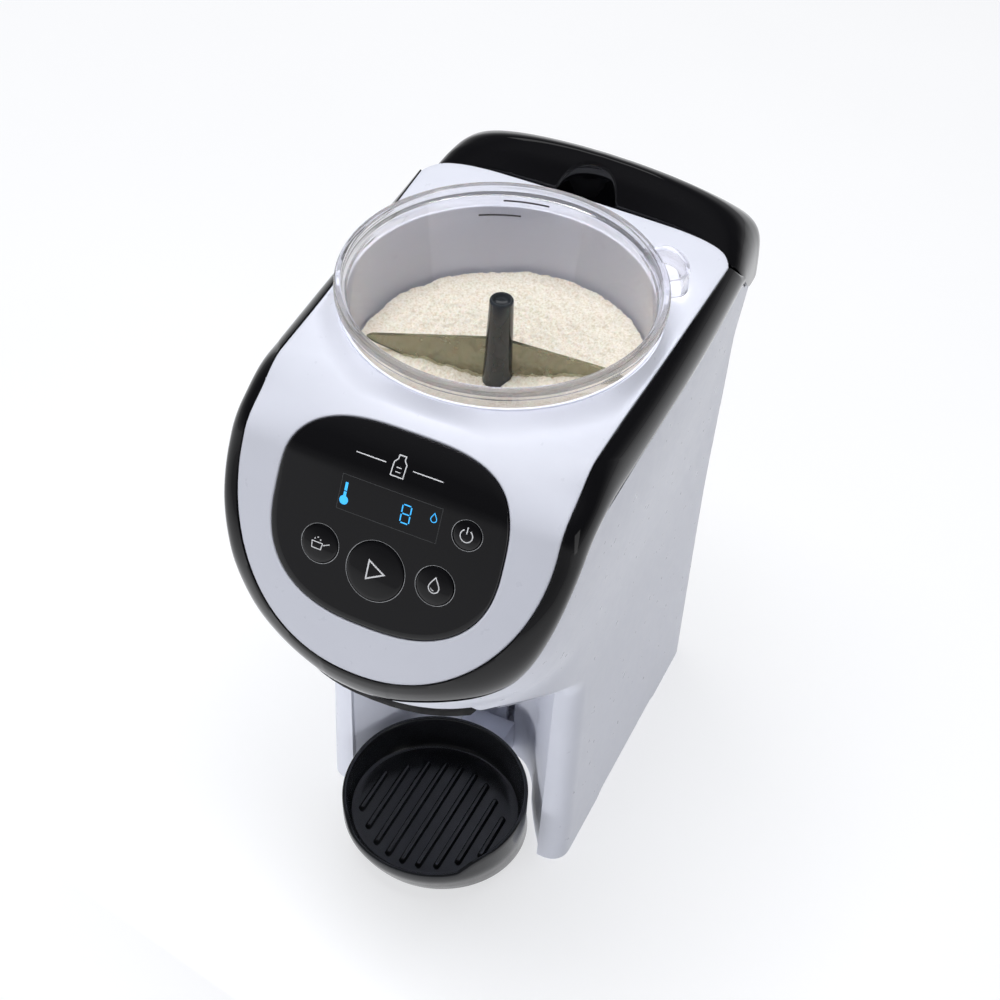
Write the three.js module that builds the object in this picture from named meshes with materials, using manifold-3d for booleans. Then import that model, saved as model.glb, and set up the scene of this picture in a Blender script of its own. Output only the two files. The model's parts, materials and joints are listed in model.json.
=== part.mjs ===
// Baby-formula dispenser: a powder container with a stirrer above a sloping control face, a bottle bay
// with a drip tray below, and a lift-out water tank behind.
// Millimetres, +Z up, front towards -Y. The origin is on the worktop under the centre of the box.
import * as THREE from "three";
import { mergeVertices } from "three/addons/utils/BufferGeometryUtils.js";
import Module from "manifold-3d";

const wasm = await Module();
wasm.setup();

// ---------------------------------------------------------------- driving dimensions

const GAP = 0.4; // between pieces that touch on the real object
const WALL = 3; // moulded housing walls
const RIM_Z = 337; // top of the container, the highest point
const RIM_R = 76; // container lip
const CONTAINER_R = 72; // container wall, outside, under the lip
const CONTAINER_WALL = 2;
const CONTAINER_FLOOR_Z = 262;
const COLLAR_Z = 325.5; // top of the white collar round the container
const REAR_Y = 141.5; // rear plane of the housing
const REAR_CORNER = 12; // plan radius of the two rear corners
const NOSE_Y = -40; // where the straight sides end and the rounded nose begins
const ROOF_Z = 184; // underside of the head, over the bottle bay
const FUNNEL_Y = -50.9; // centre of the funnel, the chute and the drip tray
const FACE_START = [-143, 214]; // y, z of the lowest point of the sloping face, on the centre line
const FACE_END = [-106.6, 296]; // where the straight slope ends
const TOP_START = [-66, 319.7]; // where the flat top begins
const TOP_END = [98, 322.2];
const SHOULDER_PULL = 17; // handle length of the curve between slope and top
const FACE_HALF = 77; // half-width of the face
const FACE_LIFT = 75.5; // height of the rounded lower half of the face's outline
const FACE_POWER = 2.1; // roundness of that outline
const FACE_MID_Z = 290; // where the rounded lower half ends
const LID_BASE_Z = 274;
const HINGE = [140.2, 281]; // y, z of the tank lid's hinge axis
const TANK_FLOOR_Z = 93;
const TANK_TOP_Z = 284;
const CRADLE_Z = 92; // top of the shelf that the tank stands on
const BAY_TOP_Z = 183.4;
const VALVE_Y = 115;
const GEAR_MODULE = 2.4;
const GEAR_TEETH = 24;
const PINION_TEETH = 8;
const GEAR_Z = 247.4;
const GEAR_THICK = 6;
const BLADE_TURN = 14; // degrees from +X to the stirrer's blades
const TAB_TURN = 42; // degrees from +X to the container's finger tab
const ROUND = 32; // segments of a full circle
const CONTAINER_ROUND = 36; // segments of the container, its well and its collar

// ---------------------------------------------------------------- solids

// A closed BufferGeometry as a manifold solid, turned right side out.
function toSolid(geometry) {
  const bare = geometry.clone();
  for (const name of Object.keys(bare.attributes)) {
    if (name !== "position") bare.deleteAttribute(name);
  }
  const merged = mergeVertices(bare, 1e-4);
  const corners = merged.index.array;
  const triangles = [];
  for (let i = 0; i < corners.length; i += 3) {
    const [a, b, c] = corners.subarray(i, i + 3);
    if (a !== b && b !== c && a !== c) triangles.push(a, b, c);
  }
  const make = (list) =>
    new wasm.Manifold(
      new wasm.Mesh({
        numProp: 3,
        vertProperties: merged.attributes.position.array,
        triVerts: new Uint32Array(list),
      }),
    );
  const made = make(triangles);
  return made.volume() < 0 ? make(triangles.reverse()) : made;
}

function toGeometry(solid) {
  const { vertProperties, triVerts } = solid.getMesh();
  const geometry = new THREE.BufferGeometry();
  geometry.setAttribute("position", new THREE.BufferAttribute(vertProperties, 3));
  geometry.setIndex(new THREE.BufferAttribute(triVerts, 1));
  geometry.computeVertexNormals();
  return geometry;
}

const join = (first, ...others) => others.reduce((all, one) => all.add(one), first);
const cut = (first, ...others) => others.reduce((left, one) => left.subtract(one), first);

function box(x, y, z) {
  const geometry = new THREE.BoxGeometry(x[1] - x[0], y[1] - y[0], z[1] - z[0]);
  return toSolid(geometry.translate((x[0] + x[1]) / 2, (y[0] + y[1]) / 2, (z[0] + z[1]) / 2));
}

// An outline of [u, v] points extruded from w0 to w1, then placed by a matrix.
function extrude(points, w0, w1, matrix) {
  const shape = new THREE.Shape(points.map(([u, v]) => new THREE.Vector2(u, v)));
  const geometry = new THREE.ExtrudeGeometry(shape, { depth: w1 - w0, bevelEnabled: false });
  return toSolid(geometry.translate(0, 0, w0).applyMatrix4(matrix));
}

function basis(u, v, w) {
  const axes = [u, v, w].map((axis) => new THREE.Vector3(...axis));
  return new THREE.Matrix4().makeBasis(...axes);
}
const PLAN = basis([1, 0, 0], [0, 1, 0], [0, 0, 1]);
const SIDE = basis([0, 1, 0], [0, 0, 1], [1, 0, 0]);
const FRONT = basis([-1, 0, 0], [0, 0, 1], [0, 1, 0]);
const plan = (points, z) => extrude(points, z[0], z[1], PLAN); // points are x, y
const side = (points, x) => extrude(points, x[0], x[1], SIDE); // points are y, z
const mirrorX = (points) => points.map(([x, z]) => [-x, z]);
const front = (points, y) => extrude(mirrorX(points), y[0], y[1], FRONT); // points are x, z

// A solid of revolution about a vertical axis at x, y; the profile is a list of [radius, z].
function lathe(profile, [x, y] = [0, 0], segments = ROUND) {
  const points = [...profile, profile[0]].map(([r, z]) => new THREE.Vector2(r, z));
  const geometry = new THREE.LatheGeometry(points, segments);
  return toSolid(geometry.rotateX(Math.PI / 2).translate(x, y, 0));
}

const disc = (radius, z, at, segments) =>
  lathe([[0, z[0]], [radius, z[0]], [radius, z[1]], [0, z[1]]], at, segments);
const pipe = (outer, inner, z, at, segments) =>
  lathe([[inner, z[0]], [outer, z[0]], [outer, z[1]], [inner, z[1]]], at, segments);

// A round bar along X.
function barX(radius, x, [y, z], segments = 20) {
  const geometry = new THREE.CylinderGeometry(radius, radius, x[1] - x[0], segments);
  return toSolid(geometry.rotateZ(Math.PI / 2).translate((x[0] + x[1]) / 2, y, z));
}

// Rings with the same number of points, skinned in order, with flat ends.
function loft(rings) {
  const count = rings[0].length;
  const positions = rings.flat(2);
  const triangles = [];
  for (let r = 0; r + 1 < rings.length; r++) {
    for (let i = 0; i < count; i++) {
      const [a, b] = [r * count + i, r * count + ((i + 1) % count)];
      triangles.push(a, b, b + count, a, b + count, a + count);
    }
  }
  const last = (rings.length - 1) * count;
  for (const [a, b, c] of flatTriangles(rings[0])) triangles.push(c, b, a);
  for (const [a, b, c] of flatTriangles(rings.at(-1))) triangles.push(a + last, b + last, c + last);
  const geometry = new THREE.BufferGeometry();
  geometry.setAttribute("position", new THREE.Float32BufferAttribute(positions, 3));
  return toSolid(geometry.setIndex(triangles));
}

// Triangles of one flat ring, wound the way the ring runs.
function flatTriangles(ring) {
  const points = ring.map((p) => new THREE.Vector3(...p));
  const normal = new THREE.Vector3();
  points.forEach((p, i) => {
    const q = points[(i + 1) % points.length];
    normal.add(new THREE.Vector3().crossVectors(p, q));
  });
  const upright = new THREE.Vector3(0, 0, 1);
  const turn = new THREE.Quaternion().setFromUnitVectors(normal.normalize(), upright);
  const turned = points.map((p) => p.clone().applyQuaternion(turn));
  return THREE.ShapeUtils.triangulateShape(turned.map((p) => new THREE.Vector2(p.x, p.y)), []);
}

// A round hose through a few points.
function hose(points, radius) {
  const path = new THREE.CatmullRomCurve3(points.map((p) => new THREE.Vector3(...p)));
  const section = new THREE.Shape().absarc(0, 0, radius, 0, 2 * Math.PI);
  const geometry = new THREE.ExtrudeGeometry(section, { extrudePath: path, steps: 14, curveSegments: 4 });
  return toSolid(geometry);
}

// ---------------------------------------------------------------- curves

const radians = (degrees) => (degrees * Math.PI) / 180;
const rounded = (value, power) => Math.sign(value) * Math.abs(value) ** (2 / power);
const mix = (a, b, t) => a + (b - a) * t;
const range = (count) => [...Array(count).keys()];

// Linear interpolation in a list of [key, value, ...] rows; gives the values.
function lookup(rows, key) {
  const next = Math.min(Math.max(rows.findIndex((row) => row[0] > key), 0), rows.length - 1);
  if (key >= rows.at(-1)[0]) return rows.at(-1).slice(1);
  if (next === 0) return rows[0].slice(1);
  const [low, high] = [rows[next - 1], rows[next]];
  const t = (key - low[0]) / (high[0] - low[0]);
  return low.slice(1).map((value, i) => mix(value, high[i + 1], t));
}

// ---------------------------------------------------------------- housing outline

// z, half-width, nose depth, nose roundness, rear half-width of the white body's plan section
const BODY = [
  [0, 68.6, 84, 2.3, 64.6],
  [137, 70.5, 84, 2.3, 67.6],
  [180, 74, 84.5, 2.3, 69.5],
  [187.6, 75, 88.2, 2.3, 69.8],
  [190, 75.4, 88.6, 2.4, 70],
  [208, 78, 90, 3.57, 70.8],
  [237, 82, 95, 4.9, 72.1],
  [258, 84.5, 95, 5.85, 74.4],
  [280, 86, 95, 6.85, 77],
  [299, 86.7, 95, 7.7, 79.6],
];
const SIDE_BULGE = 2.5; // how far the upper sides bow out between nose and rear
const ARC_Y = REAR_Y - REAR_CORNER;

// A point of the section at height z. q runs 0-1 round half the nose, 1-2 along the side,
// 2-3 round the rear corner and 3-4 along the rear plane to the centre; negative q is the left side.
function bodyOuter(q, z) {
  const [half, nose, power, rear] = lookup(BODY, z);
  const hand = q < 0 ? -1 : 1;
  const step = Math.abs(q);
  if (step <= 1) {
    const angle = radians(90 * step);
    const x = half * rounded(Math.sin(angle), power);
    return [hand * x, NOSE_Y - nose * rounded(Math.cos(angle), power)];
  }
  if (step <= 2) {
    const along = step - 1;
    const bow = SIDE_BULGE * Math.sin(Math.PI * along) * THREE.MathUtils.clamp((z - 180) / 60, 0, 1);
    return [hand * (mix(half, rear, along) + bow), mix(NOSE_Y, ARC_Y, along)];
  }
  if (step <= 3) {
    const angle = radians(90 * (step - 2));
    const x = rear - REAR_CORNER + REAR_CORNER * Math.cos(angle);
    return [hand * x, ARC_Y + REAR_CORNER * Math.sin(angle)];
  }
  return [hand * (rear - REAR_CORNER) * (4 - step), REAR_Y];
}

// The same point moved inwards, square to the wall.
function bodyPoint(q, z, inset = 0) {
  const reach = 0.004;
  const [x, y] = bodyOuter(q, z);
  const [x0, y0] = bodyOuter(q - reach, z);
  const [x1, y1] = bodyOuter(q + reach, z);
  const length = Math.hypot(x1 - x0, y1 - y0);
  return [x - (inset * (y1 - y0)) / length, y + (inset * (x1 - x0)) / length, z];
}

const sideStep = (y) => 1 + (y - NOSE_Y) / (ARC_Y - NOSE_Y);
const NOSE_ANGLES = [0, 8, 16, 26, 35, 44, 51, 57.5, 63, 69, 76, 81.5]; // degrees round the nose
const NOTCH_ENDS = [34.5, 37.3]; // where the skirt's notch over the drawer ends, at its top and bottom
const SHOULDER_ANGLES = [83.3, 85, 86.6, 88, 89, 90];
const NOSE_STEPS = [...NOSE_ANGLES, ...NOTCH_ENDS, 85, 88, 90].sort((a, b) => a - b).map((t) => t / 90);
const SIDE_STEPS = [-38, 12, 18, 60, 87, 93, 98, 115, ARC_Y].map(sideStep);
const REAR_STEPS = [2.33, 2.67, 3];

// The whole section as a closed plan outline, counter-clockwise.
function bodyOutline(z, inset) {
  const steps = [...NOSE_STEPS, ...SIDE_STEPS, ...REAR_STEPS];
  const right = steps.map((q) => bodyPoint(q, z, inset).slice(0, 2));
  const left = right.slice(1).reverse().map(([x, y]) => [-x, y]);
  return [...right, ...left];
}

// Half-width of the outer section at a given y.
function bodyHalfAt(y, z) {
  const [half, nose, power] = lookup(BODY, z);
  if (y >= NOSE_Y) return bodyOuter(sideStep(y), z)[0];
  return half * (1 - ((NOSE_Y - y) / nose) ** power) ** (1 / power);
}

// Lower edge of the white body in side view, from the skirt's front down to the leg: z, y
const LEG_EDGE = [
  [0, -38],
  [130, -40],
  [147, -50],
  [165, -70],
  [177, -90],
  [182, -104],
];
const legEdgeY = (z) => lookup(LEG_EDGE, z)[0];
const NOTCH_Z = 187.6; // the skirt's underside over the funnel drawer
const SKIRT_Z = 182; // the skirt's underside beside it
const BASE_Z = 0.8;
const ARCH_Z = 3.3;

// Bottom of the white body at step q: the skirt, then the leg, then the foot with its shallow arch.
function bodyBottom(q) {
  const along = (90 * q - NOTCH_ENDS[0]) / (NOTCH_ENDS[1] - NOTCH_ENDS[0]);
  if (along < 1) return mix(NOTCH_Z, SKIRT_Z, Math.max(along, 0));
  if (q > 1.001) {
    const y = mix(NOSE_Y, ARC_Y, Math.min(q - 1, 1));
    return y > 15 && y < 90 ? ARCH_Z : BASE_Z;
  }
  let [low, high] = [110, SKIRT_Z];
  for (const _ of range(24)) {
    const z = (low + high) / 2;
    if (bodyOuter(q, z)[1] < legEdgeY(z)) low = z;
    else high = z;
  }
  return Math.min(low, SKIRT_Z);
}

// The black band's lower edge: nose angle, z; beyond the nose it is the side's y, z
const BAND_NOSE = [
  [0, 190],
  [8, 191.6],
  [16, 196.5],
  [26, 203],
  [35, 209.5],
  [44, 217.3],
  [51, 227],
  [57.5, 237.5],
  [63, 247.8],
  [69, 258.5],
  [76, 270],
  [81.5, 280],
  [85.6, 289],
  [88.5, 294.4],
  [90, 297.8],
];
const SIDE_TOP = [
  [NOSE_Y, 297.8],
  [0, 299],
  [98, 299],
  [106, 291.5],
  [115, 284.5],
  [ARC_Y, 280],
  [REAR_Y, 279.4],
];

function bodyTop(q) {
  if (q <= 1) return lookup(BAND_NOSE, 90 * q)[0];
  return lookup(SIDE_TOP, q <= 2 ? mix(NOSE_Y, ARC_Y, q - 1) : REAR_Y)[0];
}

// ---------------------------------------------------------------- face surface

// Centre line of the white face and top in side view, as y, z, by arc length.
const faceLine = new THREE.CurvePath();
{
  const at = ([y, z]) => new THREE.Vector2(y, z);
  const slope = at(FACE_END).sub(at(FACE_START)).normalize();
  const flat = at(TOP_END).sub(at(TOP_START)).normalize();
  faceLine.add(new THREE.LineCurve(at(FACE_START), at(FACE_END)));
  faceLine.add(
    new THREE.CubicBezierCurve(
      at(FACE_END),
      at(FACE_END).addScaledVector(slope, SHOULDER_PULL),
      at(TOP_START).addScaledVector(flat, -SHOULDER_PULL),
      at(TOP_START),
    ),
  );
  faceLine.add(new THREE.LineCurve(at(TOP_START), at(TOP_END)));
}
const FACE_LENGTH = faceLine.getLength();
const SLOPE_LENGTH = faceLine.curves[0].getLength();
const SHOULDER_LENGTH = faceLine.curves[1].getLength();
const TOP_S = SLOPE_LENGTH + SHOULDER_LENGTH; // arc length where the flat top begins

// How far the side edges fall behind the centre line, by arc length.
const CROWN = [
  [0, 5.7],
  [SLOPE_LENGTH, 6],
  [SLOPE_LENGTH + SHOULDER_LENGTH / 2, 8.5],
  [TOP_S, 3.6],
  [TOP_S + 60, 3.2],
  [FACE_LENGTH, 0.6],
];

function faceAt(s) {
  const t = THREE.MathUtils.clamp(s / FACE_LENGTH, 0, 1);
  const point = faceLine.getPointAt(t);
  const tangent = faceLine.getTangentAt(t);
  return { s, y: point.x, z: point.y, ny: -tangent.y, nz: tangent.x, crown: lookup(CROWN, s)[0] };
}

// The surface at x off the centre line, lowered by depth along the normal.
function facePoint(row, x, depth = 0) {
  const drop = row.crown * Math.abs(x / FACE_HALF) ** 3 + depth;
  return [x, row.y - row.ny * drop, row.z - row.nz * drop];
}

const slopeRise = (FACE_END[1] - FACE_START[1]) / SLOPE_LENGTH;
const slopeRun = (FACE_END[0] - FACE_START[0]) / SLOPE_LENGTH;

// Rows of the face, from its round lower end up the slope and back along the top. Each has the
// half-width of the face there.
const FACE_ANGLES = [3, 12, 23, 35, 41, 48, 54, 60, 66, 73, 80, 88];
const SHOULDER_ROWS = 6;
const TOP_Y = [-40, -10, 20, 50, 75, 86];

function faceRows() {
  const lower = FACE_ANGLES.map((angle) => {
    const width = FACE_HALF * rounded(Math.sin(radians(angle)), FACE_POWER);
    const edgeZ = FACE_MID_Z - FACE_LIFT * rounded(Math.cos(radians(angle)), FACE_POWER);
    const centreZ = edgeZ + slopeRun * CROWN[0][1] * (width / FACE_HALF) ** 3;
    return { ...faceAt((centreZ - FACE_START[1]) / slopeRise), width };
  });
  const shoulder = range(SHOULDER_ROWS).map((i) => ({
    ...faceAt(SLOPE_LENGTH + (SHOULDER_LENGTH * (i + 0.5)) / SHOULDER_ROWS),
    width: FACE_HALF,
  }));
  const top = TOP_Y.map((y) => ({
    ...faceAt(TOP_S + y - TOP_START[0]),
    width: mix(FACE_HALF, FACE_HALF + 3.2, THREE.MathUtils.clamp((y + 50) / 136, 0, 1)),
  }));
  return [...lower, ...shoulder, ...top];
}

// A closed skin over the face between two depths; rows are spread as fractions of their width.
const ACROSS = [-1, -0.82, -0.56, -0.25, 0.25, 0.56, 0.82, 1];

function faceSkin(rows, depths) {
  const rings = rows.map((row) => [
    ...ACROSS.map((u) => facePoint(row, u * row.width, depths[0])),
    ...[...ACROSS].reverse().map((u) => facePoint(row, u * row.width, depths[1])),
  ]);
  return loft(rings);
}

const rows = faceRows();

// ---------------------------------------------------------------- control panel geometry

const PANEL_S = (261.05 - FACE_START[1]) / slopeRise; // arc length of the start button's centre
const PANEL_HALF = 55.3;
const PANEL_LIFT = 46.15;
const PANEL_MID = 19; // panel centre, up the face from the start button
const PANEL_POWERS = { lower: 2.5, upper: 3.2 };

// Rows of the panel, or of its hole when grown.
function panelRows(grow = 0) {
  return range(13).map((i) => {
    const angle = radians(mix(5, 175, i / 12));
    const power = angle < Math.PI / 2 ? PANEL_POWERS.lower : PANEL_POWERS.upper;
    const along = PANEL_MID - (PANEL_LIFT + grow) * rounded(Math.cos(angle), power);
    const width = (PANEL_HALF + grow) * rounded(Math.sin(angle), power);
    return { ...faceAt(PANEL_S + along), width };
  });
}

// Turns a solid built with +Z along the face's normal into place at u, v on the face.
const FACE_NORMAL = [0, -slopeRise, slopeRun];
function faceFrame(u, v) {
  const place = facePoint(faceAt(PANEL_S + v), u);
  return basis([1, 0, 0], [0, slopeRun, slopeRise], FACE_NORMAL).setPosition(...place);
}
const onFace = (solid, u, v) => toSolid(toGeometry(solid).applyMatrix4(faceFrame(u, v)));

// name, across, up the face, radius
const BUTTONS = [
  ["start_button", 0, 0, 14],
  ["powder_button", -28.2, 3.2, 9.1],
  ["volume_button", 28.2, 3.2, 9.1],
  ["power_button", 37.3, 30.5, 6.9],
];

// ---------------------------------------------------------------- housing pieces

function bodyShell() {
  const levels = 6;
  const right = [...NOSE_STEPS, ...SIDE_STEPS, ...REAR_STEPS, 3.02];
  const steps = [...right.slice(1).reverse().map((q) => -q), ...right];
  const columns = steps.map((q) => {
    const [low, high] = [bodyBottom(Math.abs(q)), bodyTop(Math.abs(q)) - 2 * GAP];
    const heights = range(levels + 1).map((i) => mix(low, high, i / levels));
    return [
      ...heights.map((z) => bodyPoint(q, z)),
      ...heights.reverse().map((z) => bodyPoint(q, z, WALL)),
    ];
  });
  return join(loft(columns), legNose(1), legNose(-1));
}

// The rounded front of a leg, joining the outer wall to the bay side.
const legInnerX = (z) => mix(54, 57, Math.min(z / 137, 1));
const NOSE_BACK = 8; // depth of the leg's closed front

function legNose(hand) {
  const rings = [BASE_Z, 60, 130, 139, 147, 156, 165, 171].map((z) => {
    const y = legEdgeY(z);
    const inner = legInnerX(z);
    const outer = bodyHalfAt(y + 1, z) - 1;
    const bulge = [0, 0.15, 0.5, 0.85, 1].map((u) => [mix(inner, outer, u), y + 4 * (2 * u - 1) ** 2]);
    const back = [[outer, y + NOSE_BACK], [inner, y + NOSE_BACK]];
    return [...bulge, ...back].map(([x, yy]) => [hand * x, yy, z]);
  });
  return loft(rings);
}

// Plan of the bottle bay: right half of its inner surface, from the leg to the back.
const BAY_CURVE = new THREE.SplineCurve(
  [[56.5, -38], [46, -22.5], [37, -7], [31, 6], [20, 17.5], [0, 23]].map((p) => new THREE.Vector2(...p)),
);
const BAY_WALL = 2.4;

function bayOutline(offset) {
  const count = 14;
  const right = range(count + 1).map((i) => {
    const point = BAY_CURVE.getPointAt(i / count);
    const tangent = i === count ? new THREE.Vector2(-1, 0) : BAY_CURVE.getTangentAt(i / count);
    return [point.x + offset * tangent.y, point.y - offset * tangent.x];
  });
  const arm = [[57 + offset, -88], [57 + offset, -44]];
  const half = [...arm, ...right];
  return [...half, ...half.slice(0, -1).reverse().map(([x, y]) => [-x, y])];
}

function bayWall() {
  const inner = bayOutline(0);
  const outer = bayOutline(BAY_WALL);
  const wall = plan([...outer, ...inner.reverse()], [BASE_Z, BAY_TOP_Z]);
  const clear = LEG_EDGE.map(([z, y]) => [y + NOSE_BACK + GAP, z]);
  const behind = side([[-30, -1], ...clear, [-60, 200], [60, 200], [60, -1]], [-90, 90]);
  const slots = [-1, 1].map((hand) => box([hand * 10 - 2.6, hand * 10 + 2.6], [15, 30], [10, 96]));
  return cut(wall.intersect(behind), ...slots);
}

function undersideCover() {
  const outline = bodyOutline(ROOF_Z, WALL + GAP).filter(([, y]) => y < 40);
  const plate = plan(outline, [ROOF_Z, ROOF_Z + 2.5]);
  const holes = [disc(11 + GAP, [180, 190], [0, FUNNEL_Y]), disc(4.2, [180, 190], [0, NOZZLE_Y], 20)];
  return cut(plate, ...holes);
}

function drawerRail(hand) {
  const section = [
    [44, 175.6], [52, 175.6], [52, BAY_TOP_Z], [47.4, BAY_TOP_Z], [47.4, 177.9], [44, 177.9],
  ];
  return front(section.map(([x, z]) => [hand * x, z]), [-90, -39]);
}

function basePlate() {
  const plate = plan(bodyOutline(4, WALL + GAP + 0.2), [3, 5.5]);
  const bay = plan(bayOutline(BAY_WALL + GAP), [0, 10]);
  const legs = box([-90, 90], [-200, legEdgeY(0) + NOSE_BACK + GAP], [0, 10]);
  const screws = SCREWS.map((at) => disc(1.9, [0, 10], at, 10));
  return cut(plate, bay, legs, ...screws);
}

const FEET = [[52, -2], [-52, -2], [46, 122], [-46, 122]];
const SCREWS = [[52, 18], [-52, 18], [46, 104], [-46, 104]];

const WINDOW_INSET = 13; // from the rear half-width to the edge of the rear opening

function rearPanel() {
  const edge = (z) => lookup(BODY, z)[3] - WINDOW_INSET - GAP;
  const [low, high] = [BASE_Z, CRADLE_Z - 3.2];
  const outline = [[-edge(low), low], [edge(low), low], [edge(high), high], [-edge(high), high]];
  return cut(front(outline, [REAR_Y - 2.6, REAR_Y]), box([-43.4, -16.6], [130, 150], [20.6, 41.4]));
}

const fascia = () => {
  const slab = faceSkin([...rows, { ...faceAt(FACE_LENGTH), width: FACE_HALF + 3.2 }], [0, WALL]);
  const rear = lidFront(-GAP);
  const keep = plan([[-90, -160], [90, -160], ...rear], [200, 340]);
  const holes = [disc(COLLAR_HOLE, [300, 340], [0, 0], CONTAINER_ROUND), faceSkin(panelRows(GAP), [-6, 8])];
  return cut(slab.intersect(keep), ...holes);
};

// The line in plan where the tank lid meets the white top, from right to left.
const LID_FRONT = [
  [0, 94.2], [46, 93.8], [58, 92.9], [68, 90.8], [74, 88], [78, 83.5], [80.5, 79], [90, 79],
];

function lidFront(offset) {
  const right = LID_FRONT.map(([x, y]) => [x, y + offset]);
  return [...right.slice(1).reverse(), ...right.map(([x, y]) => [-x, y])];
}

// The gloss band that runs round the face, from lid corner to lid corner.
const BAND_THICK = 4;
const BAND_BULGE = 7; // how far the control point of its rounded section stands out
const BAND_END = { inner: 86, outer: 96.5 };

function bandSections() {
  const lower = NOSE_ANGLES.map((t, i) => [rows[i], t / 90]);
  const shoulder = SHOULDER_ANGLES.map((t, i) => [rows[FACE_ANGLES.length + i], t / 90]);
  const top = TOP_Y.map((y, i) => {
    const along = (y + 50) / (BAND_END.inner + 50);
    const row = rows[FACE_ANGLES.length + SHOULDER_ROWS + i];
    return [row, sideStep(mix(-38, BAND_END.outer, along ** 0.9))];
  });
  const half = [...lower.slice(1), ...shoulder, ...top].map(([row, q]) => bandSection(row, q));
  const centre = bandSection({ ...rows[0], width: 0, ...faceAt(-GAP) }, 0);
  const mirrored = half.map((ring) => ring.map(([x, y, z]) => [-x, y, z])).reverse();
  return [...mirrored, centre, ...half];
}

function bandSection(row, q) {
  const edge = new THREE.Vector3(...facePoint(row, row.width + GAP));
  const inward = new THREE.Vector3(...facePoint(row, row.width + GAP, BAND_THICK));
  const z = bodyTop(q);
  const low = new THREE.Vector3(...bodyPoint(q, z, -0.3));
  const lowIn = new THREE.Vector3(...bodyPoint(q, z, BAND_THICK));
  const outward = new THREE.Vector3().subVectors(low, lowIn).normalize();
  const up = new THREE.Vector3().subVectors(edge, inward).normalize();
  const across = new THREE.Vector3().subVectors(low, edge);
  const swell = outward.add(up);
  swell.addScaledVector(across, -swell.dot(across) / across.lengthSq()).normalize();
  const middle = new THREE.Vector3().addVectors(edge, low).multiplyScalar(0.5);
  const crest = middle.clone().addScaledVector(swell, BAND_BULGE);
  const skin = new THREE.QuadraticBezierCurve3(edge, crest, low).getPoints(4);
  const back = middle.clone().addScaledVector(swell, BAND_BULGE / 2 - BAND_THICK);
  return [...skin, lowIn, back, inward].map((p) => p.toArray());
}

const COLLAR_HOLE = 74.6;

function containerWell() {
  const [inTop, inLow, wall] = [CONTAINER_R + 0.7, CONTAINER_R - 0.9, 1.4];
  const tub = lathe(
    [
      [0, 256], [inLow + wall, 256], [inTop + wall, COLLAR_Z],
      [inTop, COLLAR_Z], [inLow, 258.4], [0, 258.4],
    ],
    [0, 0],
    CONTAINER_ROUND,
  );
  return cut(tub, disc(12.6, [250, 262]), disc(9.4, [250, 262], [0, FUNNEL_Y]));
}

function controlPanel() {
  const skin = faceSkin(panelRows(), [-0.3, 1.6]);
  const holes = BUTTONS.map(([, u, v, radius]) => onFace(disc(radius, [-6, 6], [0, 0], 20), u, v));
  return cut(skin, ...holes);
}

// Cap, retaining flange behind the panel, and a stem that reaches the switch.
function button([, u, v, radius]) {
  const cap = radius - GAP;
  const profile = [
    [0, -8.6], [2, -8.6], [2, -4], [radius + 1.2, -4],
    [radius + 1.2, -2.9], [cap, -2.9], [cap, 0.8], [0, 1.5],
  ];
  return onFace(lathe(profile, [0, 0], 18), u, v);
}

function controlBoard() {
  const board = box([-47, 47], [-16, 41], [-12.4, -10.8]);
  const switches = BUTTONS.map(([, u, v]) => {
    const drop = CROWN[0][1] * Math.abs(u / FACE_HALF) ** 3;
    return box([u - 3, u + 3], [v - 3, v + 3], [-11, -9.7 - drop]);
  });
  return onFace(join(board, ...switches), 0, 0);
}

const displayModule = () => onFace(box([-26, 26], [21, 39.4], [-8, -2.2]), 0, 0);

// ---------------------------------------------------------------- powder container and drive

const onBlade = (solid) => toSolid(toGeometry(solid).rotateZ(radians(BLADE_TURN)));

function powderContainer() {
  const foot = CONTAINER_FLOOR_Z - 3.1;
  const low = CONTAINER_R - 1.6;
  const cup = lathe(
    [
      [0, CONTAINER_FLOOR_Z], [low - 4, CONTAINER_FLOOR_Z], [low - 4, foot], [low, foot],
      [CONTAINER_R, RIM_Z - 6], [RIM_R, RIM_Z - 5.4], [RIM_R, RIM_Z], [RIM_R - 3.6, RIM_Z],
      [RIM_R - 3.6, RIM_Z - 2.4], [CONTAINER_R - CONTAINER_WALL, RIM_Z - 5.4],
      [low - CONTAINER_WALL, CONTAINER_FLOOR_Z + 2.4], [0, CONTAINER_FLOOR_Z + 2.4],
    ],
    [0, 0],
    CONTAINER_ROUND,
  );
  const outlet = disc(8.6, [250, 270], [0, FUNNEL_Y]);
  return join(cut(cup, disc(10.4, [250, 270]), outlet), fingerTab());
}

// The hollow tab outside the lip.
function fingerTab() {
  const outline = (half, reach) => [
    [CONTAINER_R - 0.6, -half], [reach - half * 0.6, -half],
    ...range(7).map((i) => {
      const angle = radians(mix(-75, 75, i / 6));
      return [reach - half * 0.6 + half * 0.6 * Math.cos(angle), half * Math.sin(angle)];
    }),
    [reach - half * 0.6, half], [CONTAINER_R - 0.6, half],
  ];
  const block = plan(outline(13, 89), [322.5, 333.5]);
  const hollow = plan(outline(11, 87).map(([x, y]) => [x + 0.2, y]), [320, 331.5]);
  const tab = cut(block, hollow, disc(CONTAINER_R - 0.4, [318, 340]), disc(75, [318, 326.2]));
  return toSolid(toGeometry(tab).rotateZ(radians(TAB_TURN)));
}

const containerSeal = () => pipe(64, 60, [258.8, CONTAINER_FLOOR_Z - GAP]);

function levelingPlate() {
  const plate = pipe(67, 12.6, [269.6, 271.2]);
  return cut(plate, box([-9, 9], [-62, -40], [260, 280]));
}

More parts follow.
